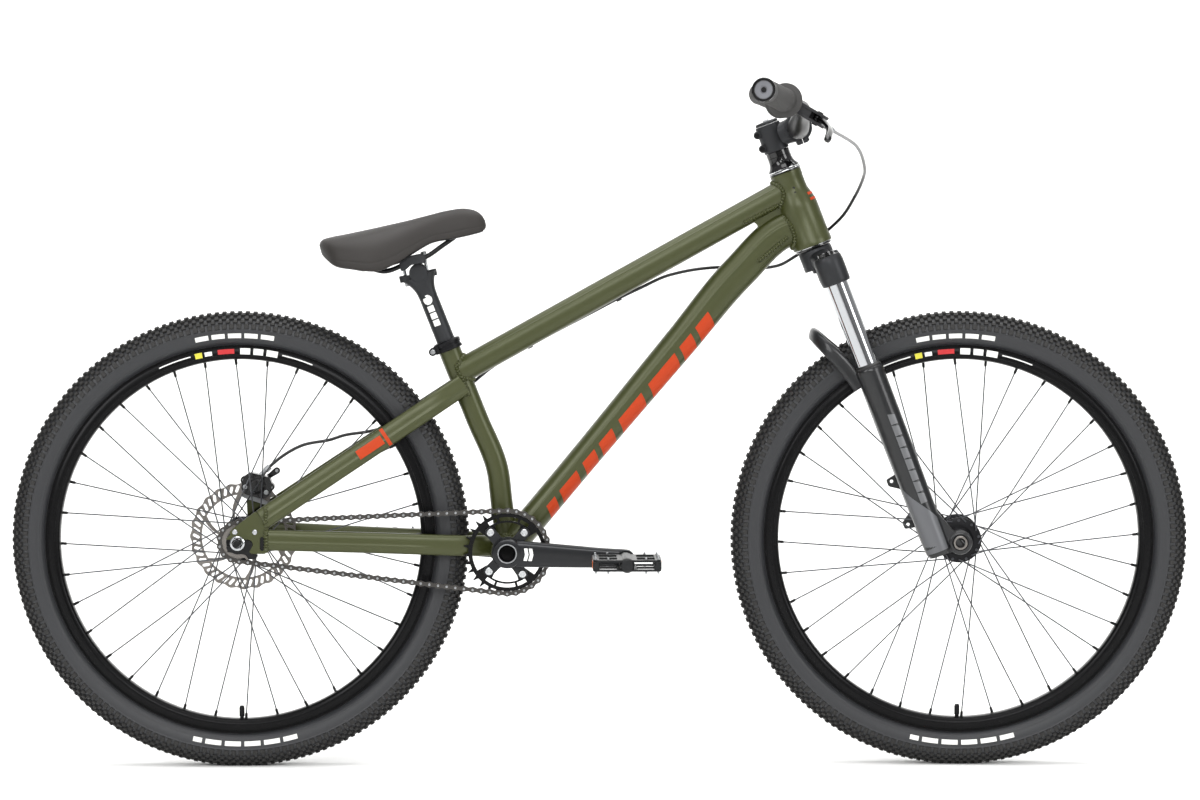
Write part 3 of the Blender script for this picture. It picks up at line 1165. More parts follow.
def pedal():
    """One pedal about its axle on the left side: a plate with four windows, a hub barrel and pins."""
    rim = box_loop(-pedal_half, pedal_half, pedal_inner, pedal_outer, 12)
    middle = (pedal_inner + pedal_outer) / 2
    windows = [
        box_loop(*x, *y, 4) for x in ((14, 40), (-40, -14)) for y in ((100, middle - 4), (middle + 4, 178))
    ]
    flat = {"u": (1, 0, 0), "v": (0, 1, 0), "w": (0, 0, 1)}
    parts = [
        plate([rim, *windows], low, high, **flat) for low, high in ((-pedal_thick, -5.4), (5, pedal_thick))
    ]
    for end in (-1, 1):
        for x0, x1, y0, y1 in ((39, 49, 91, 102), (39, 49, 176, 187), (45, 48.5, 110, 168)):
            parts.append(plate([box_loop(end * x0, end * x1, y0, y1, 3)], -5.6, 5.2, **flat))
    barrel = [[6.6, 90], [10, 90], [11, 91.5], [11, 180], [10.2, 186], [8.4, 188.6], [0, 189], [0, 183],
              [6.6, 183]]
    parts.append(turned(barrel, (0, 0, 0), ACROSS, 40, open_bore=True))
    pin = [[0, 0], [1.7, 0], [1.7, 3.0], [1.3, 3.4], [0, 3.4]]
    for x in (-44.5, 44.5, -27, 27):
        for y in (np.linspace(98, 180, 4) if abs(x) > 40 else (95.5, 182.5)):
            for up in (-1, 1):
                parts.append(turned(pin, (x, y, up * pedal_thick), [0, 0, up], 8, number=1))
    for end in (-1, 1):
        shell = box_loop(middle - 27, middle + 27, -5.6, 5.6, 2)
        low, high = sorted((end * 48, end * 49.6))
        parts.append(plate([shell], low, high, u=(0, 1, 0), v=(0, 0, 1), w=(1, 0, 0), number=2))
    return parts


for name, ahead, sign in (("pedal_right", 1, -1), ("pedal_left", -1, 1)):
    place = bracket + ahead * arm_length * (crank_turn @ np.array([1.0, 0, 0]))
    parts = pedal() if sign > 0 else [flipped(part) for part in pedal()]
    fit(f"{name}_platform", [placed(part, np.eye(3), place) for part in parts],
        [cast_black, zinc_bolt, reflector], name, [name], "dark_casting", bevel=0.9)


# Seatpost. A black aluminium post with a forged head: a cradle across the bike with a lug in front and
# one behind, each for an upright bolt of the saddle clamp.

# A fine matt black, paler than the polished one, with wide dim highlights.
satin_black = finish("satin black anodised", "#2a2b2d", (0.38, 0.48), grain=0.7, depth=0.002, Metallic=0.65)
post_radius = 13.6
post_profile = [
    [0, -165], [13.2, -165], [post_radius, -164], [post_radius, 66], [13.3, 67.5], [post_radius, 69],
    [post_radius, 74], [0, 74],
]
post_neck = Tube([[*(seat_top + up * seat_up), wide, deep] for up, wide, deep in (
    (70, post_radius, post_radius), (80, 13.4, 14.4), (90, 14, 17.5), (98, 15, 22), (103, 15, 26),
)], 30, 0.8)
saddle_turn = turn("y", -12.5)
saddle_axis = seat_top + 108 * seat_up
cradle = [[0, -15], [12.8, -15], [13.8, -14], [13.8, 14], [12.8, 15], [0, 15]]
post_parts = [
    turned(post_profile, seat_top, seat_up, 64), post_neck.skin(48),
    turned(cradle, saddle_axis, ACROSS, 48),
]
for x in (-23.5, 20):
    lug_at = saddle_axis + saddle_turn @ np.array([x, 0, -4])
    post_parts.append(turned([[0, -5], [5.4, -5], [6.2, -4], [6.2, 4], [5.4, 5], [0, 5]], lug_at,
                             saddle_turn @ UP, 28))
    post_parts.append(plate([box_loop(0, x, -4.5, 4.5, 1)], -7, 7,
                            origin=saddle_axis + saddle_turn @ [0, 0, -4.5], u=saddle_turn @ [1, 0, 0],
                            v=saddle_turn @ UP))
fit("forged_seatpost", post_parts, [satin_black], "seatpost", ["seatpost"], "black_metal")

# Printed marks on the post's right side: three bars, and above them a disc of ten strips.
disc_radius, disc_middle, disc_centre = 29, 66.4, -100
marks = [((at, at + 9), (-120, -80)) for at in (48, 37, 26)]
for share in np.linspace(-0.9, 0.9, 10):
    middle, half = disc_middle + 7 * share, disc_radius * math.sqrt(1 - share**2)
    marks.append(((middle - 0.75, middle + 0.75), (disc_centre - half, disc_centre + half)))
fit("seatpost_marks", [
    wrap_label(seat_top, seat_up, (post_radius, post_radius), heights, angles) for heights, angles in marks
], [white_film], "seatpost", slot="black_metal")


# Saddle. Foam under a stretched black cover, which is sewn to a lower band just above the edge of the
# base, on a moulded base with two bent steel rails.
saddle_nose, saddle_tail, saddle_half, saddle_height, saddle_steps = 111.5, 133.0, 67, 79, 110
# Place ahead, half width, height of the top and height of the lower edge, each as a share of the full one.
saddle_stations = np.array([
    [-1, 0.02, 0.87, 0.84], [-0.985, 0.3, 0.945, 0.75], [-0.95, 0.5, 0.985, 0.66], [-0.865, 0.78, 0.999, 0.5],
    [-0.677, 0.955, 0.992, 0.367], [-0.45, 0.985, 0.988, 0.235], [-0.226, 0.82, 0.988, 0.28],
    [0, 0.567, 0.99, 0.42], [0.27, 0.4, 1.002, 0.53], [0.54, 0.33, 1.012, 0.52],
    [0.8, 0.285, 0.967, 0.52], [0.92, 0.21, 0.88, 0.53], [0.98, 0.11, 0.77, 0.56], [1.0, 0.02, 0.68, 0.62],
])
saddle_rows = np.c_[
    np.where(saddle_stations[:, 0] < 0, saddle_tail, saddle_nose) * saddle_stations[:, 0],
    saddle_stations[:, 1] * saddle_half, saddle_stations[:, 2:] * saddle_height,
]
saddle_fine = smooth(saddle_rows, saddle_steps)
seam_share = 0.945


def saddle_at(place, share, sink=0.0):
    """Points on the cushion at a row's place, with share 0 on the middle line and 1 at the lower edge: a
    quarter superellipse from the top to the edge. sink moves them inward."""
    rows = np.stack([
        np.interp(place, np.linspace(0, 1, saddle_steps), saddle_fine[:, k]) for k in range(4)
    ], -1)
    turn_share = np.abs(share) * np.pi / 2
    y = (rows[..., 1] - sink) * np.sin(turn_share) ** 0.82 * np.sign(share)
    z = rows[..., 3] + (rows[..., 2] - rows[..., 3] - sink) * np.cos(turn_share) ** 0.72
    return np.stack([rows[..., 0], y, z], -1)


def saddle_cushion():
    """The cushion's closed skin: its top on both sides, a rounded lower edge, and a hollow underside."""
    half = np.r_[np.linspace(0, 0.9, 24)[:-1], np.linspace(0.9, 0.98, 12)[:-1], np.linspace(0.98, 1, 3)]
    share = np.r_[-half[:0:-1], half]
    place, across = np.meshgrid(np.linspace(0, 1, saddle_steps), share, indexing="ij")
    groove = 0.4 * np.exp(-(((np.abs(across) - seam_share) / 0.012) ** 2))
    top = saddle_at(place, across, groove)
    edge = top[:, -1]
    under = np.stack([
        np.c_[edge[:, 0], edge[:, 1] * width, edge[:, 2] + rise] for width, rise in (
            (0.985, -1.6), (0.95, -2.4), (0.9, -1.6), (0.86, 2.0), (0.8, 6.0),
        )
    ], 1)
    roof = np.minimum(np.maximum(under[:, -1:, 2], 44.0), top[:, top.shape[1] // 2, 2][:, None] - 2)
    middle = np.stack([np.c_[edge[:, 0], 0 * edge[:, 0], roof[:, 0]]], 1)
    return skin(np.concatenate([top, under, middle, (under * [1, -1, 1])[:, ::-1]], 1))


# Vinyl with a leather grain: hardly any gloss, and a soft grey sheen over its pebbles.
leatherette = bpy.data.materials.new("grained synthetic leather")
leatherette.use_nodes = True
tree = leatherette.node_tree
shader = tree.nodes["Principled BSDF"]
shader.inputs["Base Color"].default_value = linear("#282523")
shader.inputs["Roughness"].default_value = 0.52
shader.inputs["Specular IOR Level"].default_value = 0.3
# The real grain is about 0.8 mm wide. It is drawn at 1.3 mm so that it shows at this distance.
pebble_width, pebble_depth = 1.3, 0.2
leather_place = node(tree, "ShaderNodeTexCoord")
pebble = node(
    tree, "ShaderNodeTexVoronoi", {"Scale": 1 / (pebble_width * METRES)},
    {"Vector": leather_place.outputs["Object"]},
)
pebble_lift = node(
    tree, "ShaderNodeBump", {"Distance": pebble_depth * METRES, "Strength": 0.55},
    {"Height": pebble.outputs["Distance"]},
)
tree.links.new(pebble_lift.outputs["Normal"], shader.inputs["Normal"])
# Moulded plastic with a fine spark-eroded grain, which breaks its highlights up.
base_plastic = finish("moulded black polypropylene", "#18181a", (0.4, 0.5), grain=0.7, depth=0.006)

cushion = fit("saddle_cushion", [placed(saddle_cushion(), saddle_turn, saddle_axis)], [leatherette],
              "saddle", ["saddle_cover"], "saddle_skin", crease=60)


def saddle_base():
    """The base: a shallow tray inside the cushion's lower edge, whose rim shows below the tail."""
    rings = []
    for x, half, edge in saddle_fine[6:-6, [0, 1, 3]]:
        low = max(edge - 3.2, 20)
        high = max(edge + 5.5, 42.6)
        loop = [[0.87, low + 1], [0.9, low], [0.8, low - 0.6], [0.72, high - 5], [0, high - 3.4]]
        side = np.array([[x, share * half, z] for share, z in loop])
        top = np.array([[x, 0, high - 0.3], [x, 0.76 * half, high - 0.3]])
        rings.append(np.concatenate([side, (side * [1, -1, 1])[3::-1], (top * [1, -1, 1])[1:], top]))
    return skin(np.array(rings))


rail_path = smooth([
    [-105, 30, 39.2], [-74, 26, 26.2], [-47, 22, 13], [-14.2, 22, 17.2], [18.7, 22, 21.4],
    [40.4, 17.6, 30.3], [62, 0, 39.2], [40.4, -17.6, 30.3], [18.7, -22, 21.4], [-14.2, -22, 17.2],
    [-47, -22, 13], [-74, -26, 26.2], [-105, -30, 39.2],
], 120)
rail = skin(carried(rail_path, 3.5 * oval(16), UP))
fit("moulded_saddle_base", [placed(saddle_base(), saddle_turn, saddle_axis)], [base_plastic], "saddle",
    ["saddle_base"], "plastic", crease=40)
fit("saddle_rail_wire", [placed(rail, saddle_turn, saddle_axis)], [insert_black], "saddle",
    ["saddle_rails"], "steel")
clamp_side = rounded([[-24, 8], [-18, 8], [-9, 13.5], [5, 13.5], [10, 12], [15, 13], [15, 24], [8, 27],
                      [-16, 27], [-24, 21]], 3)
clamp_parts = [
    plate([clamp_side], low, high, u=(1, 0, 0), v=(0, 0, 1)) for low, high in ((15.6, 28), (-28, -15.6))
]
clamp_parts.append(plate([rounded([[-24, 15.2], [15, 15.2], [15, 21], [8, 26], [-16, 26], [-24, 21]], 3)],
                         -16.5, 16.5))
for x in (-20, 13):
    clamp_parts.append(drum(2.4, -12, 24, (x, 0, 0), UP, 16, number=1))
    clamp_parts.append(turned([[0, 24], [4.2, 24], [4.2, 28.6], [3.6, 29.2], [0, 29.2]], (x, 0, 0),
                              UP, 20, number=1))
    clamp_parts.append(drum(4, -16, -10.2, (x, 0, 0), UP, 6, number=1))
fit("saddle_rail_clamp", [placed(part, saddle_turn, saddle_axis) for part in clamp_parts],
    [satin_black, zinc_bolt], "saddle", ["saddle_clamp"], "black_metal", bevel=0.7)


# Fork, upper part. A forged black crown on the steerer tube carries two hard-chromed stanchions, with a
# preload cap on the left leg and a damping dial on the right.
def steer(part):
    """The part moved from the steering's own frame, with +Z up its axis, into the bike's."""
    return placed(part, steering_turn, head_bottom)


def lofted(rows, roundness, sides=48):
    """A closed skin through rows of x, y, z, half size along x and half size along z, square to Y."""
    ring = oval(sides, roundness)
    rows = np.asarray(rows, float)
    rings = np.stack([
        rows[:, :1] + rows[:, 3:4] * ring[:, 0], np.broadcast_to(rows[:, 1:2], (len(rows), sides)),
        rows[:, 2:3] + rows[:, 4:5] * ring[:, 1],
    ], -1)
    return skin(rings)


leg_y, leg_x = 60, 12


def on_leg(profile, side, segments=64, number=0):
    """A profile turned about the axis of the leg on one side, in the steering's own frame."""
    return turned(profile, (leg_x, side * leg_y, 0), UP, segments, number)


crown_half = [
    [0, 0, -20, 17.5, 15], [4, 22, -23, 16, 14.4], [8.5, 40, -31, 16.5, 15.5], [11.5, 54, -40.5, 18, 17.6],
    [12, 62, -41, 17, 17],
]
crown_rows = smooth(both_halves(crown_half), 50)
crown_parts = [
    lofted(crown_rows, 0.72),
    turned([[0, -34.2], [24, -34.2], [25, -33], [25, -8], [24, -5], [20, -4.4], [0, -4.4]],
           (0, 0, 0), UP, 64),
    turned([[12, -40], [14.3, -39], [14.3, 187.6], [13.8, 188], [12, 188]], (0, 0, 0), UP, 48),
]
socket = [
    [16.1, -62], [20, -62], [20.8, -61], [21.5, -57], [21.5, -30], [20.6, -23], [19.4, -20.4],
    [17, -19.8], [15, -19.8], [15, -23.4], [16.1, -23.5],
]
dial = [[0, -23.8], [14.6, -23.8], [14.6, -19.4], [12.4, -18.6], [12.4, -14.6], [11.4, -13.8], [0, -13.8]]
for side in (-1, 1):
    crown_parts.append(on_leg(socket, side))
    crown_parts.append(on_leg(dial, side, 36 if side > 0 else 18, number=1))
fit("forged_fork_crown", [steer(part) for part in crown_parts], [satin_black, gloss_black], "steering",
    ["fork_crown"], "black_metal", crease=38)
stanchion = [[13.4, -345], [16, -345], [16, -24.2], [13.4, -24.2]]
for sign, side in ((-1, "right"), (1, "left")):
    fit(f"chromed_stanchion_{side}", [steer(on_leg(stanchion, sign, 96))], [hard_chrome], "steering",
        [f"stanchion_{side}"], "chrome")


# Fork lowers. One magnesium casting: two tapered legs with rubber wipers, a thin arch that reaches back
# over the tyre, feet for the through axle, two lugs for a brake, and a grey panel on each leg's foot.

# Painted casting: smooth black with a clear coat, whose highlights are long and soft.
cast_magnesium = finish(
    "painted magnesium casting", "#141517", (0.3, 0.4), grain=1.4, depth=0.006, Metallic=0.3,
    Coat_Weight=0.25,
)
# Silver paint and film, which lighten toward the soft boxes as fine metal flake does.
grey_panel = finish("silver-grey paint", "#5f6063", (0.35, 0.45), grain=1.2, depth=0.004, Metallic=0.5)
print_grey = finish(
    "grey film lettering blocks", "#626365", (0.35, 0.45), grain=1.5, depth=0.003, Metallic=0.3,
)
# Oiled rubber, flat black beside the paint.
wiper_rubber = finish("nitrile rubber", "#151515", (0.5, 0.6), grain=0.8, depth=0.004)
leg_profile = [
    [16.5, -193], [19.6, -193], [20.6, -194.5], [20.8, -199], [20.4, -206], [20.3, -300], [19.4, -400],
    [19, -470], [18.4, -480], [15, -486], [0, -486], [0, -452], [16.5, -452],
]
wiper = [[16.15, -192.8], [19, -192.8], [19, -190.4], [17.4, -188.6], [16.4, -187.4], [16.15, -187.4]]


def leg_label(side, heights, angles, slant=0.0, lift=0.22, steps=16):
    """A thin patch on a leg, between two heights and two angles from straight ahead toward the outer side.
    slant raises its rear edge."""
    angle = np.radians(np.linspace(*angles, steps))
    share = np.linspace(0, 1, steps)
    table = np.array(leg_profile[3:9])[::-1]
    up = np.linspace(0, 1, 6)
    layers = []
    for rise, out in [(step, lift) for step in up] + [(step, -lift) for step in up[::-1]]:
        z = heights[0] + rise * (heights[1] + slant * share - heights[0])
        radius = np.interp(z, table[:, 1], table[:, 0]) + out
        layers.append(np.c_[leg_x + radius * np.cos(angle), side * (leg_y + radius * np.sin(angle)), z])
    return skin(np.stack(layers, 1))


foot = rounded([
    [29, -421], [44, -462], [60, -466.6], [64, -480], [59, -488.6], [-2, -486], [-2, -455], [29, -455],
], 5)
axle_boss = [
    [10.4, 50.4], [16.4, 50.4], [17.5, 51.5], [17.5, 64.4], [16.4, 66], [14.6, 67.4], [11.8, 67.4],
    [10.4, 66.2],
]
lowers = []
for side in (-1, 1):
    low, high = sorted((side * 50.5, side * 66))
    lowers += [
        on_leg(leg_profile, side, 72), on_leg(wiper, side, number=1),
        plate([foot, circle(axle_in_steering[[0, 2]], 10.4, 40)], low, high),
        turned([[r, side * y] for r, y in axle_boss], axle_in_steering, ACROSS, 64),
    ]
for z, up in ((-440.5, 1), (-371.5, -1)):
    lug = rounded([[-5, z - 8 * up], [-22, z - 4.7 * up], [-22, z + 5.5 * up], [-5, z + 17 * up]], 3)
    lowers.append(plate([lug, circle((-15, z), 2.6, 16)], 56, 64))
# The arch from the left leg to its middle: x, y, z, half width along and half thickness.
arch_points = [
    [-10, 58, -216, 10.5, 5.5], [-15.5, 56.5, -194, 11, 5], [-24, 52, -168, 11, 5], [-36, 42, -143, 10, 5.5],
    [-43.5, 24, -127, 9.5, 6], [-46, 0, -122, 9.5, 6.2],
]
arch_rows = smooth(arch_points + [[x, -y, z, a, b] for x, y, z, a, b in arch_points[-2::-1]], 90)
arch_section = oval(28, 0.7) * arch_rows[:, None, 3:5]
lowers.append(skin(carried(arch_rows[:, :3], arch_section, [0.55, 0, 0.83])))
fit("cast_fork_lowers", [steer(part) for part in lowers], [cast_magnesium, wiper_rubber], "fork_lowers",
    ["fork_lowers"], "black_metal", bevel=1.2, crease=38)
panels = []
for side in (-1, 1):
    panels.append(leg_label(side, (-479, -430), (38, 150), slant=54))
    for row in range(8):
        top = -268 - 17.5 * row
        panels.append((*leg_label(side, (top - 13.5, top), (58, 88), slant=3), 1))
fit("fork_leg_graphics", [steer(part) for part in panels], [grey_panel, print_grey], "fork_lowers",
    slot="black_metal")
axle_tube = [
    [7.3, -69.6], [9.6, -69.6], [10.2, -69], [10.2, -66.6], [9.9, -66.2], [9.9, 66.8], [9.2, 67.6],
    [7.3, 67.6],
]
fit("through_axle", [
    steer(turned(axle_tube, axle_in_steering, ACROSS, 48)),
    steer(drum(7.4, -58, 58, axle_in_steering, ACROSS, 32, number=1)),
], [ground_steel, dark_hole], "fork_lowers", ["front_axle"], "black_metal")


# Headset cover, spacers and stem. A gloss black cone with a bright line at its foot and two polished
# spacers carry a forged stem, whose split rear clamp closes on the steerer with two bolts.
def socket_screw(place, axis, radius, height, number=0):
    """A cap screw's head that stands on a place, with a six-sided socket. A ring of the socket lies at
    the distance of a hexagon's side: its half width over the cosine of the angle from that side's middle."""
    segments = 24
    axis, way = round_axis(axis, segments)
    angle = once_round(segments)
    flat = 0.46 * radius / np.cos((angle + np.pi / 6) % (np.pi / 3) - np.pi / 6)
    round_head = np.full(segments, radius)
    rings = [
        (round_head, 0), (round_head, 0.84 * height), (0.9 * round_head, height), (flat, height),
        (flat, 0.35 * height), (0 * flat, 0.35 * height),
    ]
    return *skin(np.array([
        np.asarray(place, float) + along * axis + size[:, None] * way for size, along in rings
    ]), ends=False), number


def half_ring(outer, inner, start, stop, steps=30):
    """An outline between two arcs of degrees round the origin."""
    angle = np.radians(np.linspace(start, stop, steps))
    return np.vstack([polar(outer, angle), polar(inner, angle[::-1])])


bar_x, bar_z = 40.5, 168.7
bar_in_steering = np.array([bar_x, 0, bar_z])
clamp_outer, clamp_inner, clamp_half = 20.5, 16.2, 21
stem_low, stem_high = 148.2, 189.2
cover = [
    [14.7, 119.4], [22.8, 119.4], [22.8, 120.2], [23.8, 120.4], [23.6, 121.4], [20.4, 125.6], [18.4, 130],
    [17.7, 134], [17.6, 139.2], [17.2, 139.5], [17.2, 139.9], [17.6, 140.2], [17.6, 147.6], [17.2, 147.9],
    [14.7, 147.9],
]
bright_line = [[22.7, 119.45], [24, 119.45], [24, 120.35], [22.7, 120.35]]
fit("headset_cone_and_spacers", [
    steer(turned(cover, (0, 0, 0), UP, 72)),
    steer(turned(bright_line, (0, 0, 0), UP, 72, number=1)),
], [gloss_black, polished], "steering", ["headset_spacers"], "gloss_black")
stem_shape = Tube([
    [0, 0, bar_z, 16.8, 19.6], [10, 0, bar_z, 15.6, 18.4], [20, 0, bar_z, 16.2, 17.2],
    [30, 0, bar_z, 19.6, 18.4], [39.8, 0, bar_z, 20.9, 20.3],
], 30, 0.72)
stem_parts = [
    stem_shape.skin(56),
    turned([[14.6, stem_low], [17.9, stem_low], [18.6, stem_low + 0.8], [18.6, stem_high - 0.8],
            [17.9, stem_high], [14.6, stem_high]], (0, 0, 0), UP, 64),
    plate([half_ring(clamp_outer, clamp_inner, 92, 268)], -clamp_half, clamp_half, origin=bar_in_steering),
]
ear = [[0, 1.2], [5.2, 1.2], [5.8, 2], [5.8, 11.6], [5, 12.6], [0, 12.6]]
for share in (0.24, 0.76):
    ear_z = stem_low + share * (stem_high - stem_low)
    for side in (-1, 1):
        stem_parts.append(turned([[r, side * y] for r, y in ear], (-18.6, 0, ear_z), ACROSS, 32))
        stem_parts.append(socket_screw((-19.4, side * 12.4, ear_z), [0, side, 0], 3.9, 2.2, number=1))
face_bolts = [np.array([0, side * 13.4, bar_z + up * 19.4]) for side in (-1, 1) for up in (-1, 1)]
for place in face_bolts:
    stem_parts.append(turned([[0, 30], [4.6, 31], [5, 33], [5, 39.9], [0, 39.9]], place, [1, 0, 0], 28))
fit("forged_stem", [steer(part) for part in stem_parts], [satin_black, black_brass], "steering", ["stem"],
    "black_metal", bevel=0.6)
# The faceplate: two half rings, joined by two bars that leave a window between them.
face_parts = [
    plate([half_ring(outer, clamp_inner, start, stop)], low, high, origin=bar_in_steering)
    for outer, start, stop, low, high in (
        (clamp_outer, -88, 88, -clamp_half, -6), (clamp_outer, -88, 88, 6, clamp_half),
        (19.6, -88, -40, -6, 6), (19.6, 40, 88, -6, 6),
    )
]
for place in face_bolts:
    face_parts.append(turned([[0, 41.1], [5, 41.1], [5, 46.6], [4.4, 47.4], [0, 47.4]], place, [1, 0, 0], 28))
    face_parts.append(socket_screw(place + [47.2, 0, 0], [1, 0, 0], 3.9, 2.8, number=1))
fit("stem_faceplate_windowed", [steer(part) for part in face_parts], [satin_black, black_brass],
    "steering", ["stem_faceplate"], "black_metal", bevel=0.6)
cap_profile = [[0, 189.5], [16.4, 189.5], [17, 190.3], [17, 192.4], [15.4, 194.1], [5.6, 194.5], [5, 193.4],
               [0, 193.4]]
fit("domed_top_cap", [
    steer(turned(cap_profile, (0, 0, 0), UP, 64)),
    steer(socket_screw((0, 0, 193.3), UP, 4.2, 3.2, number=1)),
], [satin_black, zinc_bolt], "steering", ["top_cap"], "black_metal")


# Handlebar and grips. A butted black bar, bent up and back, with rubber grips that have a flange at the
# inner end and a metal plug at the outer one.
bar_turn = steering_turn @ turn("y", 21)
bar_origin = head_bottom + steering_turn @ bar_in_steering
tip_y, tip_x, tip_z = 365, -52.6, 52.0
taper_y, taper_x, taper_z = 128, 4.0, 27.0


def bar_line(y):
    """The outer part of the bar's middle line, for y from the bend to the tip."""
    share = (y - taper_y) / (tip_y - taper_y)
    return np.array([taper_x + share * (tip_x - taper_x), y, taper_z + share * (tip_z - taper_z)])


# The bar's left half: x, y, z and the radius, from the clamp to the tip.
bar_half = [
    [0, 0, 0, 15.9], [0, 34, 0, 15.9], [0.8, 56, 5, 15], [2.6, 92, 18.4, 12.2],
    [*bar_line(taper_y), 11.1], [*bar_line(160), 11.1], [*bar_line(260), 11.1], [*bar_line(tip_y), 11.1],
]
bar_rows = smooth(both_halves(bar_half), 140)
bar_tube = skin(carried(bar_rows[:, :3], oval(40) * bar_rows[:, 3, None, None], UP))
# Baked enamel has no metal in it, so its highlights are white and thin on a flat black.
bar_enamel = finish("black stove enamel", "#0f0f10", (0.3, 0.4), grain=1.0, depth=0.003)
fit("butted_handlebar", [placed(bar_tube, bar_turn, bar_origin)], [bar_enamel], "steering",
    ["handlebar"], "black_metal")

# Soft rubber scatters the light and looks dark grey, and the plug at its end has a metal's sheen.
grip_rubber = finish("soft grip rubber", "#333231", (0.6, 0.75), grain=1.1, depth=0.03)
plug_grey = finish("grey anodised plug", "#6a6b6f", (0.3, 0.4), grain=0.7, depth=0.002, Metallic=0.7)
grip_start, grip_stop = 235, 369.3
grip_way = unit(bar_line(grip_stop) - bar_line(grip_start))
grip_long = np.linalg.norm(bar_line(grip_stop) - bar_line(grip_start))
rib_pitch, rib_count = 3.9, 25
ribs = np.array([[16.6, 0], [16.6, 2.5], [16.1, 2.9], [16.1, 3.5]])
grip_profile = [
    [11.3, 0], [22.6, 0], [24.4, 0.8], [24.8, 2.2], [24.2, 3.6], [21, 4.3], [17.4, 5.6], [16.8, 8],
    [16.6, 20],
    *np.vstack([ribs + [0, 21 + i * rib_pitch] for i in range(rib_count)]).tolist(),
    [16.6, 121], [16.6, grip_long - 5], [16.4, grip_long - 1.2], [15.2, grip_long], [13.2, grip_long],
    [12.6, grip_long - 0.8], [11.3, grip_long - 0.8],
]
plug = [
    [0, grip_long - 3], [12.8, grip_long - 3], [12.8, grip_long - 0.6], [12.2, grip_long - 0.1],
    [5.2, grip_long - 0.3], [4.6, grip_long - 1.0], [3.9, grip_long - 1.0], [3.9, grip_long - 1.3],
    [0, grip_long - 1.3],
]
end_ring = [[13, grip_long - 1.4], [17, grip_long - 1.4], [17, grip_long - 0.3], [16, grip_long + 0.3],
            [13.4, grip_long + 0.2]]
for side, hand in ((1, "left"), (-1, "right")):
    grip_at, grip_axis = bar_line(grip_start) * [1, side, 1], grip_way * [1, side, 1]
    grip_parts = [
        turned(grip_profile, grip_at, grip_axis, 64),
        turned(plug, grip_at, grip_axis, 48, number=1),
        socket_screw(grip_at + (grip_long - 1.4) * grip_axis, grip_axis, 3.8, 1.0, number=2),
        turned(end_ring, grip_at, grip_axis, 48, number=3),
    ]
    fit(f"ribbed_grip_{hand}", [placed(part, bar_turn, bar_origin) for part in grip_parts],
        [grip_rubber, plug_grey, black_brass, gloss_black], "steering", [f"grip_{hand}"], "rubber", crease=24)


# Brake lever. A hinged clamp on the bar holds a cast body with a fork for the blade, a pivot screw and a
# knurled barrel for the cable.
lever_y = 196
lever_turn = bar_turn @ turn("y", 30)
lever_origin = bar_origin + bar_turn @ (bar_line(lever_y) * [1, -1, 1])
pivot = np.array([42.0, -3.75, 0])
# A painted casting: dark grey, with broken highlights on its edges.
lever_grey = finish(
    "dark grey cast lever body", "#2d2d2f", (0.34, 0.44), grain=0.9, depth=0.006, Metallic=0.5,
)
# The brake cable's route: points chosen by hand along the photographed line, from the lever to the caliper.
cable_route = np.array([
    [361.7, -150, 909.4], [379.4, -100, 878.5], [381.6, -60, 865.2], [372, -10, 834.3],
    [354.4, 25, 803.4], [338.2, 38, 787.2], [310.2, 42, 762.2], [286.7, 44, 746], [269, 44, 735.7],
    [236.6, 42, 729.8], [170.4, 38, 731.2], [123.3, 20, 725.4], [96.8, 14, 718.7], [60, 14, 701.8],
    [21.7, 14, 683.4], [-1.8, 14, 670.9], [-90, 17, 624], [-166.1, 22, 579.3], [-182.2, 24, 565.8],
    [-205, 34, 547], [-231.1, 45, 526.9], [-290, 56, 503], [-341.1, 61, 488.1], [-381.6, 62, 481.3],
    [-395.6, 62, 476.6], [-443.1, 62, 466.3], [-472, 62, 449.8],
])
barrel_from, barrel_long = np.array([51.5, 7.5, -3.0]), 24
barrel_way = unit(lever_turn.T @ (cable_route[0] - lever_origin) - barrel_from)


def at_lever(part):
    """The part moved from the lever's own frame, whose +X points ahead in the lever's plane."""
    return placed(part, lever_turn, lever_origin)


def z_plate(outline, low, high, number=0):
    """A plate whose outline lies in X and Y."""
    return plate([outline], low, high, v=(0, 1, 0), w=(0, 0, 1), number=number)


body_outline = rounded([[9, -13], [38, -13.6], [50, -10.5], [56, -1], [56, 9], [48, 14.6], [9, 12]], 4)
web_outline = rounded([[9, -11], [31, -11], [31, 7.2], [55, 7.2], [54, 13], [9, 11]], 2)
mount_parts = [
    z_plate(body_outline, 4.9, 8.8), z_plate(body_outline, -8.8, -4.9), z_plate(web_outline, -6.4, 6.4),
    turned([[11.4, -7.2], [15, -7.2], [15.6, -6.4], [15.6, 6.4], [15, 7.2], [11.4, 7.2]],
           (0, 0, 0), ACROSS, 56, number=1),
    turned([[0, -7], [4.6, -7], [5, -6.4], [5, 6.4], [4.6, 7], [0, 7]],
           (-4, 0, -16.5), ACROSS, 28, number=1),
    socket_screw((-4, -7, -16.5), [0, -1, 0], 3.2, 2.4, number=2),
    drum(2.4, -8.9, 8.9, pivot, UP, 20, number=2),
    *[socket_screw(pivot + 8.7 * way, way, 4.4, 1.8, number=2) for way in (UP, -UP)],
    turned([[0, 0], [3.3, 0], [3.3, 5], [4.5, 5.4], [4.5, 8.6], [3.5, 9], [3.5, 10.4], [4.4, 10.9],
            [4.4, 19.6], [3.8, 20.4], [3.6, 23.4], [3.2, barrel_long], [0, barrel_long]],
           barrel_from, barrel_way, 18, number=3),
]
fit("brake_lever_body", [at_lever(part) for part in mount_parts],
    [lever_grey, gloss_black, black_brass, zinc_bolt], "steering", ["brake_lever_mount"], "black_metal",
    bevel=0.7)
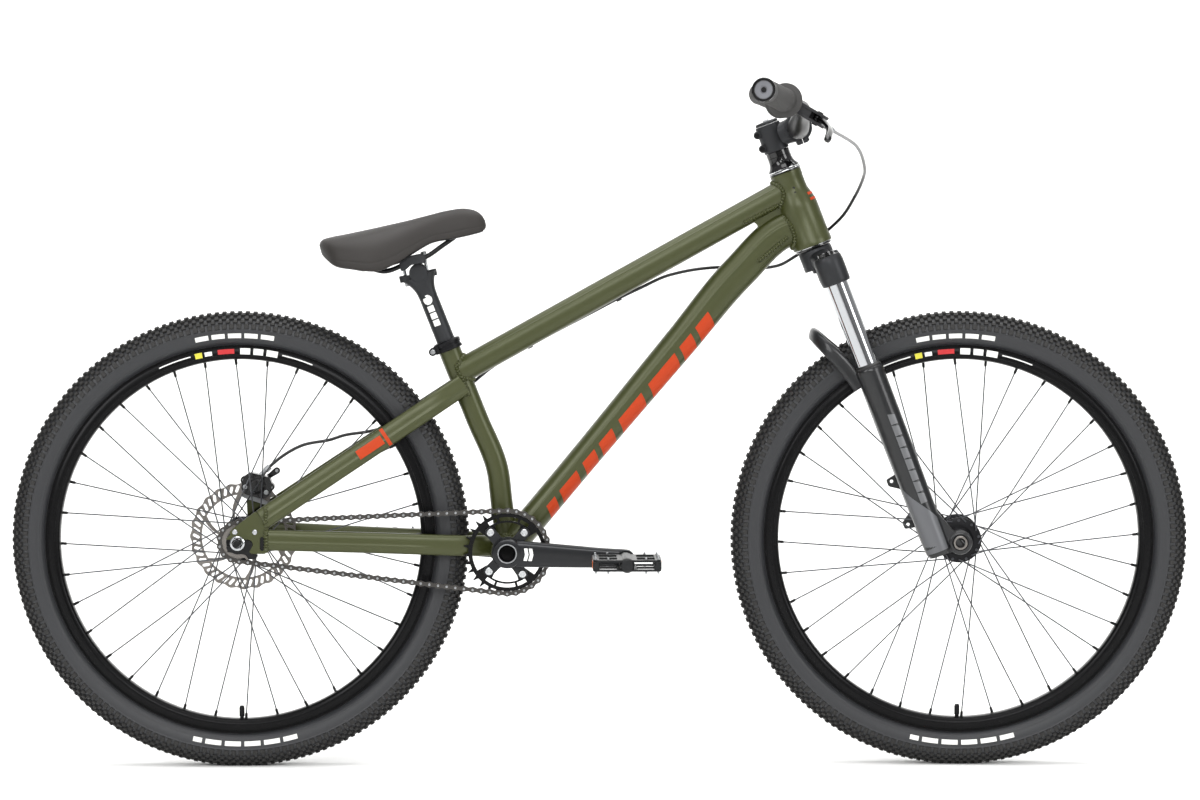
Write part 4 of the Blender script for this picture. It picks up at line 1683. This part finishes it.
# The blade's middle line from the pivot: shares of its reach outward, its length and its drop.
blade_line = [[0, 0, 0], [0.3, 0.12, 0], [0.62, 0.3, -0.1], [0.9, 0.66, -0.4], [1, 1, -1]]
blade_rows = smooth([pivot + [25 * out, -104 * along, 21 * drop] for out, along, drop in blade_line], 60)
place = np.linspace(0, 1, 60)
tall = np.interp(place, [0, 0.2, 0.6, 0.94, 1], [4.4, 4.4, 5.0, 5.6, 2.4])
deep = np.interp(place, [0, 0.12, 0.5, 0.9, 0.97, 1], [4.3, 4.2, 4.0, 5.2, 4.8, 1.8])
blade_section = oval(24, 0.8) * np.stack([tall, deep], -1)[:, None]
fit("brake_lever_blade", [
    at_lever(skin(carried(blade_rows, blade_section, UP))),
    at_lever(turned([[2.9, -4.3], [5.8, -4.3], [6.2, -3.8], [6.2, 3.8], [5.8, 4.3], [2.9, 4.3]], pivot,
                    UP, 40)),
], [gloss_black], "brake_lever", ["brake_lever"], "black_metal", crease=40)


# Rear brake. A cast caliper straddles the rotor on the dropout's tab: a fixed half inside, a half with
# the actuating cam and its arm outside, two bolts, and a stop for the cable.
caliper_at = np.array([-506.812, 0, 408.842])
caliper_turn = turn("y", 15)
# A casting under glossy paint, with wet-looking highlights, beside a bare pale bracket.
caliper_black = finish("glossy cast caliper", "#161617", (0.16, 0.28), grain=1.3, depth=0.01, Metallic=0.5,
                       Coat_Weight=0.4)
bracket_grey = finish(
    "light grey cast bracket", "#9a9c9e", (0.35, 0.45), grain=1.2, depth=0.008, Metallic=0.7,
)
caliper_outline = rounded([
    [-22, -9], [-15, -17], [15, -17], [22, -9], [22, 8], [15, 16.8], [-15, 16.8], [-22, 8],
], 6)
slot_low, slot_high = 49.7, 54.3


def at_caliper(part):
    """The part turned with the caliper round the rear axle and moved to its place."""
    return placed(part, caliper_turn, caliper_at)


caliper_parts = [
    plate([caliper_outline], 41.5, slot_low), plate([caliper_outline], slot_high, 67.4),
    plate([rounded([[-19, 4], [19, 4], [19, 11], [14, 16.6], [-14, 16.6], [-19, 11]], 3)],
          slot_low, slot_high),
    turned([[0, 38.3], [8.6, 38.3], [9.4, 39], [9.4, 40], [12.6, 40.4], [13.4, 41.2], [13.4, 42], [0, 42]],
           (0, 0, 0), ACROSS, 48),
    turned([[0, 60], [15.4, 60], [15.4, 66.4], [14.6, 67.4], [7, 67.4], [7, 75.3], [0, 75.3]],
           (0, 0, 0), ACROSS, 48),
    turned([[0, 75], [2.5, 75], [2.5, 80.4], [5, 80.4], [5, 83], [4.2, 83.5], [0, 83.5]],
           (0, 0, 0), ACROSS, 32, number=1),
    *[socket_screw((x, 41.7, -6), -ACROSS, 3.4, 2.6, number=1) for x in (-16, 16)],
]
for x in (-19.5, 19.5):
    caliper_parts.append(turned([[0, 44], [5.6, 44], [6.2, 45], [6.2, 66.2], [5.4, 67.2], [0, 67.2]],
                                (x, 0, 3), ACROSS, 32))
    caliper_parts.append(drum(3.8, 42.4, 44.2, (x, 0, 3), ACROSS, 6, number=1))
tab_reach = [[-18, -24], [20, -26], [24, -12], [20, -2], [-20, -2], [-24, -12]]
caliper_parts.append(plate([rounded(tab_reach, 5)], 59.6, 67.2, number=2))
stop_from = caliper_at + [0, 59.75, 10.2]
stop_to = caliper_at + [18.26, 59.75, 27.37]
stop_way = unit(stop_to - stop_from)
stop_long = float(np.linalg.norm(stop_to - stop_from))
stop_profile = [[0, 0], [3.4, 0], [3.4, stop_long - 9], [4.5, stop_long - 8.4], [4.5, stop_long - 1],
                [4, stop_long], [0, stop_long]]
fit("brake_caliper_body", [
    *[at_caliper(part) for part in caliper_parts],
    turned(stop_profile, stop_from, stop_way, 20, number=3),
], [caliper_black, zinc_bolt, bracket_grey, bracket_grey], "frame", ["brake_caliper"], "dark_casting",
    bevel=0.7)
arm_angle, arm_long = 36, 34.0
arm_tip = arm_long * np.array([math.cos(math.radians(arm_angle)), math.sin(math.radians(arm_angle))])
arm_side = np.array([-arm_tip[1], arm_tip[0]]) / arm_long
ends = np.radians(np.linspace(90, 270, 14) + arm_angle)
arm_outline = np.vstack([
    polar(7.0, ends), arm_tip * 0.6 - 3.6 * arm_side,
    arm_tip + polar(5.0, ends + np.pi), arm_tip * 0.6 + 3.6 * arm_side,
])
fit("brake_caliper_arm", [
    plate([arm_outline, circle((0, 0), 2.95, 20)], 75.9, 79.9, origin=caliper_at),
    turned([[0, 74.6], [2.4, 74.6], [2.4, 79.6], [4, 79.6], [4, 82.2], [3.4, 82.8], [0, 82.8]],
           caliper_at + [arm_tip[0], 0, arm_tip[1]], ACROSS, 28, number=1),
], [caliper_black, zinc_bolt], "caliper_arm", ["caliper_arm"], "dark_casting", bevel=0.6)


# Brake cable. One length of lined housing, free between the lever and the top tube, where it swings with
# the bar, and then held by clips on the frame down to the caliper.
cable_radius = 2.4
# Extruded plastic over a steel coil: smooth and glossy.
housing = bpy.data.materials.new("lined cable housing")
housing.use_nodes = True
tree = housing.node_tree
shader = tree.nodes["Principled BSDF"]
shader.inputs["Roughness"].default_value = 0.38
housing_place = node(tree, "ShaderNodeTexCoord")
housing_height = node(tree, "ShaderNodeSeparateXYZ", links={"Vector": housing_place.outputs["Object"]})
# The housing is pale near the lever, above 0.9 m, and black below 0.835 m.
near_lever = node(
    tree, "ShaderNodeMapRange", {"From Min": 0.835, "From Max": 0.9}, {"Value": housing_height.outputs["Z"]},
)
# 6 and 7 are the mix node's two colour sockets, and 2 is its colour output.
sheath = node(
    tree, "ShaderNodeMix", {6: linear("#1a1a1b"), 7: linear("#8c8c8c")}, {0: near_lever.outputs["Result"]},
    data_type="RGBA",
)
tree.links.new(sheath.outputs[2], shader.inputs["Base Color"])
cable_first = lever_origin + lever_turn @ (barrel_from + (barrel_long + 0.3) * barrel_way)
cable_last = stop_to + 0.3 * stop_way
cable_line = smooth(np.vstack([cable_first, cable_route, cable_last]), 420)
cable = build(
    "brake_cable_housing", [skin(carried(cable_line, cable_radius * oval(12), [0.1, 1, 0.2]))], [housing],
)
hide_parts("brake_cable")
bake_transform(cable)


def clip(share, reach, lean):
    """A bolted guide round the cable at one share of its length, with a foot of the given reach."""
    k = int(share * (len(cable_line) - 1))
    way = unit(cable_line[k + 1] - cable_line[k - 1])
    toward_frame = unit(lean - (lean @ way) * way)
    ring = turned([[2.6, -4], [3.9, -4], [4.2, -3.6], [4.2, 3.6], [3.9, 4], [2.6, 4]], cable_line[k], way, 24)
    stem = turned([[0, 3.4], [3, 3.4], [3.4, reach], [0, reach]], cable_line[k], toward_frame, 20)
    return [ring, stem]


guides = [part for share in (0.52, 0.64) for part in clip(share, 9, np.array([0, -0.3, 1]))]
fit("cable_guides", guides, [base_plastic], "frame", slot="plastic")
